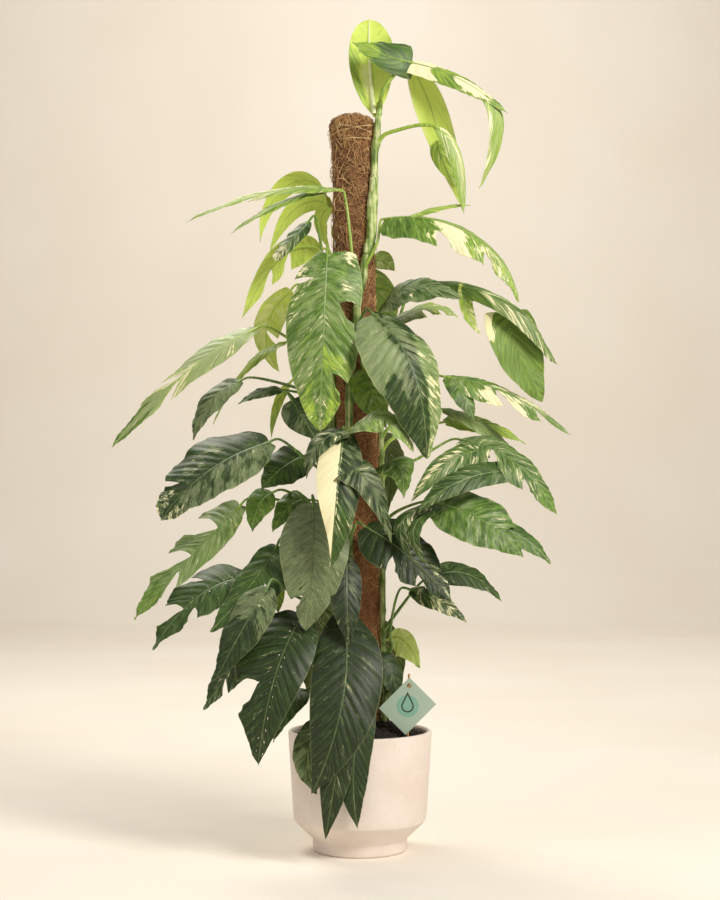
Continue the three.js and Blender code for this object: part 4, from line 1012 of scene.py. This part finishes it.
def vinePieces(vine, chance):
    bottom, top = vine["climb"][0][0], vine["climb"][-1][0]
    heights = np.append(np.arange(bottom, top - 1, vineStem["step"]), top)
    toJoint = np.abs(((heights - bottom) / internode + 0.5) % 1 - 0.5) * internode
    swell = 0.9 + 0.24 * np.exp(-((toJoint / vineStem["joint"]) ** 2))
    radii = vine["radius"] * swell * (1 - 0.55 * ease(heights, top - 46, top))
    stem = tubeAlong([vinePoint(vine, z) for z in heights], radii, vineSkin, 4)
    pieces = [roughened(stem, 0.7 * mm, 260, (1, 1, 0.12))]
    for z in np.arange(bottom + internode, top - 60, internode):
        turn, off = vineAt(vine, z)
        for _ in range(vineStem["roots"]):
            way = chance.choice([-1, 1])
            spread = chance.uniform(*vineStem["rootSpread"]) * way
            drop = chance.uniform(*vineStem["rootDrop"])
            share = np.linspace(0, 1, 14)
            wiggle = np.sin(share * chance.uniform(4, 9)) * chance.uniform(1, 4)
            reach = off + (pole["radius"] + 0.8 - off) * ease(share, 0, 0.35)
            points = [
                poleAxis(z - drop * s + w) + direction(turn + spread * s, 0) * r
                for s, w, r in zip(share, wiggle, reach)
            ]
            pieces.append(tubeAlong(points, vineStem["rootRadius"] * (1.1 - 0.8 * share), rootSkin, 1))
    return pieces


def sheathPiece(vine):
    heights = np.arange(sheath["from"], sheath["to"], vineStem["step"])
    share = (heights - sheath["from"]) / (sheath["to"] - sheath["from"])
    loose = 0.9 + sheath["swell"] * np.sin(np.pi * share) ** 0.6
    turns = [vineAt(vine, z)[0] + sheath["aside"] for z in heights]
    line = [vinePoint(vine, z) + direction(turn, 0) * sheath["off"] for z, turn in zip(heights, turns)]
    piece = tubeAlong(line, (vine["radius"] - 0.2) * loose ** 0.35, sheathSkin, 4)
    return roughened(piece, 1.8 * mm, 120, (1, 1, 0.25))


chance = random.Random(7)
for key, vine in vines.items():
    pieces = vinePieces(vine, chance)
    if key == "main":
        pieces.append(sheathPiece(vine))
    if key == "back":
        for leaf in backLeaves:
            pieces += leafPieces(leaf, vinePoint(vine, leaf["start"]))
    piece = joined(f"vine{key.capitalize()}", pieces)
    dress(piece, f"vine_{key}")
say("vines")

for key, leaf in leaves.items():
    start = vinePoint(vines[leaf["vine"]], leaf["start"])
    name = "leaf" + "".join(word.capitalize() for word in key.split("_"))
    piece = joined(name, leafPieces(leaf, start))
    dress(piece, f"leaf_{key}")
say("leaves")


# Pot: [radius, height] from the base round the outside, over the rim and down the inside
pot = {
    "sides": 128,
    "bevel": 1.6,
    "profile": [
        [66, 0], [68.6, 2.6], [69, 17], [70.5, 19.5], [92, 40], [96, 45], [97.4, 52],
        [105, 171], [104.2, 173.2], [102, 174], [99, 173.6], [96.5, 171], [88, 52], [65, 18], [60, 14],
    ],
}


def latheUp(name, profile, sides):  # a disc carried up through [radius, height] rings, in mm
    bpy.ops.object.select_all(action="DESELECT")
    (radius, z), *rings = profile
    bpy.ops.mesh.primitive_circle_add(
        vertices=sides, radius=radius * mm, fill_type="NGON", location=(0, 0, z * mm)
    )
    bpy.ops.object.transform_apply(location=True)
    bpy.ops.object.mode_set(mode="EDIT")
    for nextRadius, nextZ in rings:
        bpy.ops.mesh.extrude_region_move(TRANSFORM_OT_translate={"value": (0, 0, (nextZ - z) * mm)})
        factor = nextRadius / radius
        bpy.ops.transform.resize(value=(factor, factor, 1), center_override=(0, 0, 0))
        radius, z = nextRadius, nextZ
    bpy.ops.object.mode_set(mode="OBJECT")
    piece = named(name)
    faceOutwards(piece)
    return piece


def potFinish():
    f = Finish("potCeramic")
    place = f.place()
    cloud = f.noise(place, 14, 3)
    dots = f.cells(place, 420)
    rare = f.noise(place, 160, 1)
    speck = (1 - f.band(dots, 0.12, 0.2)) * f.band(rare, 0.56, 0.6)
    shade = f.ramp(cloud, (0.35, "#e3d4c8"), (0.65, "#ece0d6"))
    grain = f.noise(place, 900, 2)
    f.bump(grain * 0.6 - speck * 0.8 + cloud, 0.25 * mm, 0.35)
    return f.set(Base_Color=f.blend(shade, "#8d6f52", speck * 0.75), Roughness=grain * 0.2 + 0.5)


piece = latheUp("potBody", pot["profile"], pot["sides"])
edges = {"limit_method": "ANGLE", "angle_limit": math.radians(18)}
finishWith(piece, "BEVEL", width=pot["bevel"] * mm, segments=3, **edges)
piece.data.materials.append(potFinish())
dress(piece, "pot", 30)
say("pot")

# Soil: [radius, height] of its wall and of the mound, and the crumbs and bark on it
soil = {
    "sides": 96, "wall": [[60, 60], [88, 110], [95.6, 150]],
    "top": [[95.6, 165], [78, 171], [48, 185.2], [20, 189.5], [2, 190]], "rings": 46, "roughReach": 94,
    "crumbs": 900, "crumbReach": 93, "poleClear": 31, "crumbSize": (1.6, 5.5),
    "crumbShape": ([0.7, 0.5, 0.25], [1.6, 1, 0.7]),
}


def soilHeight(radius):
    radii, heights = zip(*sorted(soil["top"]))
    return np.interp(radius, radii, heights)


def manyOf(name, model, turns, sizes, spots, shades):  # copies of a small model as one mesh, in mm
    base = corners(model)
    faces = [list(face.vertices) for face in model.data.polygons]
    bpy.data.objects.remove(model)
    points = np.einsum("nij,nkj->nki", turns, base[None] * sizes[:, None]) + spots[:, None]
    firsts = range(0, len(spots) * len(base), len(base))
    piece = meshPiece(name, points, [[v + first for v in face] for first in firsts for face in faces])
    mark(piece, "shade", np.repeat(shades, len(base)))
    return piece


def paintedLowLight(f, shade, place):  # lighter and a little redder low down on the pole: painted light that lifts the shade there
    _, _, height = f.parts(place)
    return f.blend(shade, "#bd7f52", (1 - f.band(height, 0.6, 1)) * 0.34)


def crumbFinish(name, stops, scale, twist=0, wet=False):
    f = Finish(name)
    place = f.place()
    own = f.attribute("shade", "Fac")
    grain = f.noise(place, scale, 4, 0.6, twist)
    f.bump(grain, 0.6 * mm, 0.8)
    shade = f.ramp(grain * 0.4 + own * 0.6, *stops)
    return f.set(Base_Color=paintedLowLight(f, shade, place) if wet else shade, Roughness=grain * 0.1 + 0.85)


def soilPieces(chance):
    (widest, _), *_, (narrowest, _) = soil["top"]
    rings = [[r, float(soilHeight(r))] for r in np.linspace(widest, narrowest, soil["rings"])]
    mound = latheUp("mound", soil["wall"] + rings, soil["sides"])
    push = [noise.noise(Vector(p * 90)) * 2.6 + noise.noise(Vector(p * 320)) * 1.4 for p in corners(mound)]
    points = corners(mound)
    points[:, 2] += np.array(push) * mm * (np.hypot(points[:, 0], points[:, 1]) < soil["roughReach"] * mm)
    place(mound, points)
    mark(mound, "shade", chance.random(len(points)) * 0.25)
    bpy.ops.mesh.primitive_cube_add(size=1)
    crumb = bpy.context.active_object
    finishWith(crumb, "BEVEL", width=0.22, segments=1)
    place(crumb, corners(crumb) * (1 + 0.25 * np.sin(corners(crumb) * 17 + 1)))
    count = soil["crumbs"]
    radius = soil["crumbReach"] * np.sqrt(chance.random(count))
    turn = chance.random(count) * 2 * np.pi
    spots = np.column_stack([radius * np.cos(turn), radius * np.sin(turn), soilHeight(radius) + 0.4])
    spots = spots[np.hypot(spots[:, 0] - pole["footX"], spots[:, 1]) > soil["poleClear"]]
    count = len(spots)
    sizes = chance.uniform(*soil["crumbSize"], count)[:, None]
    sizes = sizes * chance.uniform(*soil["crumbShape"], (count, 3))
    turns = np.linalg.qr(chance.normal(size=(count, 3, 3)))[0]
    return [mound, manyOf("crumbs", crumb, turns, sizes, spots, chance.random(count))]


soilBrowns = [(0.2, "#15110d"), (0.5, "#2b231a"), (0.75, "#493a2a"), (0.95, "#6b573f")]
soilSkin = crumbFinish("soilSkin", soilBrowns, 260)
pieces = soilPieces(np.random.default_rng(3))
for piece in pieces:
    piece.data.materials.append(soilSkin)
piece = joined("soilMound", pieces)
dress(piece, "soil", 35)
say("soil")

# Coir sleeve: [radius, height] up to the middle of its cap, and the loose fibre that covers it
sleeve = {
    "rings": [
        [28, 60], [28.6, 200], [29, 420], [28.2, 640], [29, 860], [28.4, 960], [28.6, 1036], [30.4, 1046],
        [31.8, 1056], [31.6, 1064], [29, 1070.5], [24, 1074], [12, 1076], [1, 1076.5],
    ],
    "sides": 72, "step": 5, "capSteps": 34, "sunk": 0.9,
    "strands": 9000, "strandsFrom": 60, "strandRadius": 0.36, "strandLength": (12, 42),
    "strandLift": (0.3, 2.2), "loose": 0.12, "looseLift": 3, "onCap": 7, "taper": [0.4, 1, 1, 0.4],
}
sleevePath = np.array(sleeve["rings"], float)
sleeveReach = np.concatenate([[0], np.cumsum(np.linalg.norm(np.diff(sleevePath, axis=0), axis=1))])
capFrom, rimFrom, capTo = sleeveReach[[6, 9, -1]]  # where the neck ends and the cap turns over


def onSleeve(reach, turn, off):  # mm along the profile from the bottom, radians round, mm off the surface
    radius = np.interp(reach, sleeveReach, sleevePath[:, 0])
    z = np.interp(reach, sleeveReach, sleevePath[:, 1])
    rim = ease(reach, rimFrom - 4, sleeveReach[-2])
    out = radius + off * (1 - rim)
    x = pole["footX"] + pole["leanPerMm"] * z + out * np.cos(turn)
    return np.stack([x, out * np.sin(turn), z + off * rim], -1)


def sleeveBody():
    up = np.arange(0, capFrom, sleeve["step"])
    reach = np.concatenate([up, np.linspace(capFrom, capTo, sleeve["capSteps"])])
    radii, heights = [np.interp(reach, sleeveReach, sleevePath[:, k]) - sleeve["sunk"] for k in (0, 1)]
    rings = np.column_stack([np.maximum(radii, 0.5), heights]).tolist()
    body = latheUp("body", rings, sleeve["sides"])
    points = corners(body)
    points[:, 0] += pole["footX"] * mm + pole["leanPerMm"] * points[:, 2]
    place(body, points)
    roughened(body, 2.2 * mm, 95)
    return roughened(body, 1.6 * mm, 330)


def sleeveStrands(chance):
    bpy.ops.mesh.primitive_cylinder_add(vertices=3, radius=1, depth=1, end_fill_type="NGON")
    model = bpy.context.active_object
    ring = corners(model)[:6]
    bpy.data.objects.remove(model)
    steps = len(sleeve["taper"]) - 1
    count = sleeve["strands"]
    order = np.arange(count)
    first, last = sleeve["strandsFrom"], capTo - 3
    reach = first + (last - first) * (order + chance.random(count)) / count
    capped = order % sleeve["onCap"] == 0
    reach[capped] = chance.uniform(capFrom - 10, capTo - 2, capped.sum())
    turn = order * 2.4 + chance.uniform(-0.3, 0.3, count)  # near the golden angle, so no gap shows
    heading = chance.uniform(0, 2 * np.pi, count)
    bend = chance.normal(0, 0.7, count)
    length = chance.uniform(*sleeve["strandLength"], count)
    lift = chance.uniform(*sleeve["strandLift"], count)
    lift = lift + sleeve["looseLift"] * (chance.random(count) < sleeve["loose"])
    thick = sleeve["strandRadius"] * chance.uniform(0.6, 1.5, count)
    centres = []
    for i in range(steps + 1):
        share = i / steps
        off = 0.5 + lift * np.sin(np.pi * share) - 0.6 * (share in (0, 1))
        centres.append(onSleeve(reach, turn, off))
        heading = heading + bend * (1 + 0.6 * np.sin(i * 2 + bend * 3))
        radius = np.maximum(np.interp(reach, sleeveReach, sleevePath[:, 0]), 6)
        reach = np.clip(reach + np.cos(heading) * length / steps, 2, capTo)
        turn = turn + np.sin(heading) * length / steps / radius
    centres = np.stack(centres, 1)
    along = unit(np.gradient(centres, axis=1))
    away = unit(centres - np.stack([poleAxis(z) for z in centres[..., 2].ravel()]).reshape(centres.shape))
    away = unit(away + [0, 0, 0.01])
    wide = unit(np.cross(along, away))
    high = np.cross(wide, along)
    thick = (thick[:, None] * sleeve["taper"])[..., None]
    points = np.stack([centres + (wide * x + high * y) * thick for x, y in ring[::2, :2]], 2)
    faces = []
    for i in range(count):
        for k in range(steps):
            row = (i * (steps + 1) + k) * 3
            for j, n in ((0, 1), (1, 2), (2, 0)):
                faces.append((row + j, row + n, row + n + 3, row + j + 3))
    piece = meshPiece("strands", points, faces)
    mark(piece, "shade", np.repeat(chance.random(count), (steps + 1) * 3))
    return piece


def matFinish(name):  # the felted fibre under the loose strands
    f = Finish(name)
    place = f.place()
    upright = f.noise(f.stretch(place, (620, 620, 90)), 1, 3, 0.6, 2.6)
    across = f.noise(f.stretch(place, (110, 110, 700), (3, 1, 2)), 1, 3, 0.6, 2.6)
    felt = upright * 0.5 + across * 0.5
    f.bump(felt, 1.2 * mm, 0.9)
    shade = f.ramp(felt, (0.38, "#2e1c11"), (0.46, "#5f4029"), (0.53, "#8b6040"), (0.62, "#b68b5a"))
    return f.set(Base_Color=paintedLowLight(f, shade, place), Roughness=felt * 0.1 + 0.85)


coirBrowns = [(0.15, "#523622"), (0.34, "#8b6040"), (0.5, "#b68b5a"), (0.7, "#d4ac74"), (0.9, "#efd5a3")]
# The strands, like the mat under them, are painted lighter low down on the pole, against the shade there.
coirSkin = crumbFinish("coirSkin", coirBrowns, 300, 3, wet=True)
body = sleeveBody()
body.data.materials.append(matFinish("coirMat"))
strands = sleeveStrands(np.random.default_rng(5))
strands.data.materials.append(coirSkin)
piece = joined("coirSleeve", [body, strands])
dress(piece, "coir_sleeve", 60)
say("coir")

# Twine: two plies wound round each other, once round the sleeve and twice aslant over its cap
twine = {
    "loops": [[1040, 1.2, 0.6], [1055, 7.5, 0.2], [1054, 6.5, 3.4]],  # height, tilt, side it rises to
    "reach": [[1036, 1046, 1056, 1064], [30.6, 32, 33.4, 33.2]],  # heights, and how far out it lies there
    "ply": 0.5, "offMiddle": 0.4, "twist": 46, "steps": 288,
}


def twinePieces():
    turn = np.linspace(0, 2 * np.pi, twine["steps"] + 1)
    made = []
    for height, tilt, facing in twine["loops"]:
        middle = poleAxis(height)
        for phase in (0, np.pi):
            wind = turn * twine["twist"] + phase
            rise = tilt * np.cos(turn - facing)
            out = np.interp(height + rise, *twine["reach"]) + twine["offMiddle"] * np.cos(wind)
            rise = rise + twine["offMiddle"] * np.sin(wind)
            points = middle + np.column_stack([out * np.cos(turn), out * np.sin(turn), rise])
            made.append(tubeAlong(points, np.full(len(turn), twine["ply"]), twineSkin, 1))
    return made


twineSkin = skinFinish("twineSkin", [(0.35, "#a98a5c"), (0.6, "#e2c894")], 240, 0.75)
piece = joined("poleTwine", twinePieces())
dress(piece, "pole_twine", 60)
say("twine")

# Label: a card turned on its corner, held on a stick by an eyelet
label = {
    "width": 54, "height": 62, "thickness": 1.4, "turn": 45, "round": 2.5, "hole": 2.4, "inset": 8,
    "foot": [67, -56, 120],  # of the stick
    "top": [409, 674, -62], "middle": [407.5, 706, -62],  # of the stick and the card: column, row, depth
    "stick": 1.6, "off": 2.65,
}
drop = {"radius": 8, "below": 0.9, "slant": 0.436, "line": (0.9, 1.3), "patch": (15.5, 16.2)}
eyelet = {  # radius, radius of the wire, sides of the wire, stretch through the card, mm off its middle
    "flange": [2.6, 0.75, 12, 0.6, 1.25], "barrel": [1.75, 0.28, 8, 3.2, 0.35],
}
stickFoot, stickTop = np.array(label["foot"], float), seenAt(label["top"])
cardMiddle = seenAt(label["middle"])
holeAt = (label["inset"] - label["width"] / 2, label["height"] / 2 - label["inset"], 0)
cardLean = math.atan2(stickFoot[1] - stickTop[1], stickTop[2] - stickFoot[2])


def onCard(points):  # [across, up, off the card] in mm, to its place
    u, v, off = np.asarray(points, float).T
    turn = math.radians(label["turn"])
    x = cardMiddle[0] + u * math.cos(turn) + v * math.sin(turn)
    z = cardMiddle[2] + (v * math.cos(turn) - u * math.sin(turn)) * math.cos(cardLean)
    y = stickFoot[1] + (stickTop[1] - stickFoot[1]) * (z - stickFoot[2]) / (stickTop[2] - stickFoot[2])
    towardsViewer = np.array([0, -math.cos(cardLean), -math.sin(cardLean)])
    return np.column_stack([x, y, z]) + (off + label["off"])[:, None] * towardsViewer


def cardFinish():
    f = Finish("cardPrint")
    x, y, _ = f.parts(f.attribute("print"))
    fibre = f.noise(f.place(), 700, 3)
    # A drop of water in a soft round patch: the usual sign for watering.
    down = (x - y) * math.sqrt(0.5)
    side = ((x + y) * math.sqrt(0.5)).size()
    far = (down * down + side * side).root()
    patch = 1 - f.band(far, *drop["patch"])
    bowl = far - drop["radius"]
    sides = side * drop["below"] - down * drop["slant"] - drop["radius"]  # straight, meeting at the point
    tip = f.band(down, -4.2, -3.2)
    shape = bowl * tip + sides * (1 - tip)
    line = 1 - f.band(shape.size(), *drop["line"])
    shade = f.blend("#a2b6a4", "#6fa893", patch * 0.8)
    shade = f.blend(shade, "#26352f", line)
    shade = f.blend(shade, "#d5d9c8", f.band(fibre, 0.55, 0.8) * 0.3)
    f.bump(fibre, 0.1 * mm, 0.3)
    return f.set(Base_Color=shade, Roughness=fibre * 0.15 + 0.5)


def cardPiece():
    bpy.ops.mesh.primitive_cube_add(size=1)
    card = named("labelCard")
    place(card, corners(card) * [label["width"], label["height"], label["thickness"]])
    pickEdges(card, lambda a, b: abs(a.z - b.z) > 1)
    bpy.ops.mesh.bevel(offset=label["round"], segments=5)
    bpy.ops.object.mode_set(mode="OBJECT")
    bpy.ops.mesh.primitive_cylinder_add(vertices=32, radius=label["hole"], depth=9, location=holeAt)
    punch = bpy.context.active_object
    finishWith(card, "BOOLEAN", object=punch, operation="DIFFERENCE")
    bpy.data.objects.remove(punch)
    mark(card, "print", corners(card))
    place(card, onCard(corners(card)) * mm)
    card.data.materials.clear()
    card.data.materials.append(cardFinish())
    faceOutwards(card)
    return card


piece = cardPiece()
dress(piece, "label_card", 30)


def brassFinish():
    f = Finish("brassEyelet")
    worn = f.noise(f.place(), 900, 3)
    shade = f.ramp(worn, (0.35, "#8a6a3a"), (0.65, "#d9b878"))
    return f.set(Base_Color=shade, Metallic=1.0, Roughness=worn * 0.3 + 0.22)


def eyeletPiece():
    brass = brassFinish()
    rings = []
    for radius, wire, sides, stretch, off in eyelet.values():
        size = {"major_radius": radius, "minor_radius": wire}
        bpy.ops.mesh.primitive_torus_add(major_segments=40, minor_segments=sides, **size)
        ring = bpy.context.active_object
        points = corners(ring) * [1, 1, stretch] + holeAt + [0, 0, off]
        place(ring, onCard(points) * mm)
        faceOutwards(ring)
        ring.data.materials.append(brass)
        rings.append(ring)
    return joined("labelEyelet", rings)


piece = eyeletPiece()
dress(piece, "label_eyelet", 60)

woodSkin = skinFinish("woodSkin", [(0.35, "#a97c4c"), (0.6, "#c9a06c")], 12, 0.55)
along = np.linspace(0, 1, 40)
line = stickFoot + (stickTop - stickFoot) * along[:, None]
radii = label["stick"] * (1 - 0.5 * np.exp(-((along / 0.03) ** 2)))  # pointed at its foot
piece = joined("labelStick", [roughened(tubeAlong(line, radii, woodSkin, 3), 0.1 * mm, 400)])
dress(piece, "label_stick")
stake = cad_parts["pole_stake"]
stake.data.materials.clear()
stake.data.materials.append(woodSkin)
say("label and stakes")


# Studio: a pale floor that sweeps up behind, soft lamps, and the camera
studio = {
    "near": -4, "far": 5.4, "half": 6, "curve": 0.9, "curveSteps": 12, "height": 4.5,
    "daylight": (1, 0.97, 0.93, 1), "daylightStrength": 0.3,
}
lamps = {  # place, aimed at, width, watts, colour
    "key": [(1.5, -1.8, 2.1), (0, 0, 0.55), 0.9, 72, (1, 0.96, 0.9)],
    "fill": [(-2.2, -1.7, 2.2), (0, 0, 0.6), 1.8, 14, (1, 0.97, 0.93)],
    "wash": [(0, 2.4, 3.4), (0, 5.4, 0.6), 2.0, 70, (1, 0.96, 0.9)],
    "rim": [(-0.9, 1.2, 2.4), (0, 0, 0.8), 1.0, 30, (1, 0.95, 0.86)],
}


def floorFinish():
    f = Finish("paleFloor")
    cloud = f.noise(f.place(), 1.2, 2)
    f.bump(f.noise(f.place(), 60, 3), 1 * mm, 0.15)
    return f.set(Base_Color=f.ramp(cloud, (0.3, "#efe6d8"), (0.7, "#f5eee2")), Roughness=0.85)


def floorSweep():
    bpy.ops.mesh.primitive_plane_add(size=1)
    floor = named("floor")
    deep = studio["far"] - studio["curve"] - studio["near"]
    place(floor, corners(floor) * [2 * studio["half"], deep, 1] + [0, studio["near"] + deep / 2, 0])
    pickEdges(floor, lambda a, b: min(a.y, b.y) > studio["near"] + deep - 0.01)
    last = np.zeros(2)
    for angle in np.linspace(0, math.pi / 2, studio["curveSteps"] + 1)[1:]:
        now = np.array([math.sin(angle), 1 - math.cos(angle)]) * studio["curve"]
        bpy.ops.mesh.extrude_region_move(TRANSFORM_OT_translate={"value": (0, *(now - last))})
        last = now
    rise = studio["height"] - studio["curve"]
    bpy.ops.mesh.extrude_region_move(TRANSFORM_OT_translate={"value": (0, 0, rise)})
    bpy.ops.object.mode_set(mode="OBJECT")
    faceOutwards(floor)
    floor.data.materials.append(floorFinish())
    smooth(floor, 60)
    return floor


floorSweep()
for key, (spot, aim, width, watts, tint) in lamps.items():
    lamp = bpy.data.lights.new(key, "AREA")
    lamp.size, lamp.energy, lamp.color = width, watts, tint
    held = linked(key, lamp)
    held.location = spot
    held.rotation_euler = (Vector(aim) - Vector(spot)).to_track_quat("-Z", "Y").to_euler()

world = bpy.data.worlds.new("daylight")
world.use_nodes = True
sky = world.node_tree.nodes["Background"].inputs
sky["Color"].default_value = studio["daylight"]
sky["Strength"].default_value = studio["daylightStrength"]
bpy.context.scene.world = world
bpy.context.scene.view_settings.view_transform = "Standard"

camera = bpy.data.cameras.new("viewer")
camera.sensor_width = view["sensor"]
camera.lens = view["sensor"] * view["focalPixels"] / (2 * view["middle"][1])
stand = linked("viewer", camera)
stand.location = (0, -view["distance"] * mm, view["height"] * mm)
stand.rotation_euler = (math.radians(90 + view["pitch"]), 0, 0)
bpy.context.scene.camera = stand
say("studio")
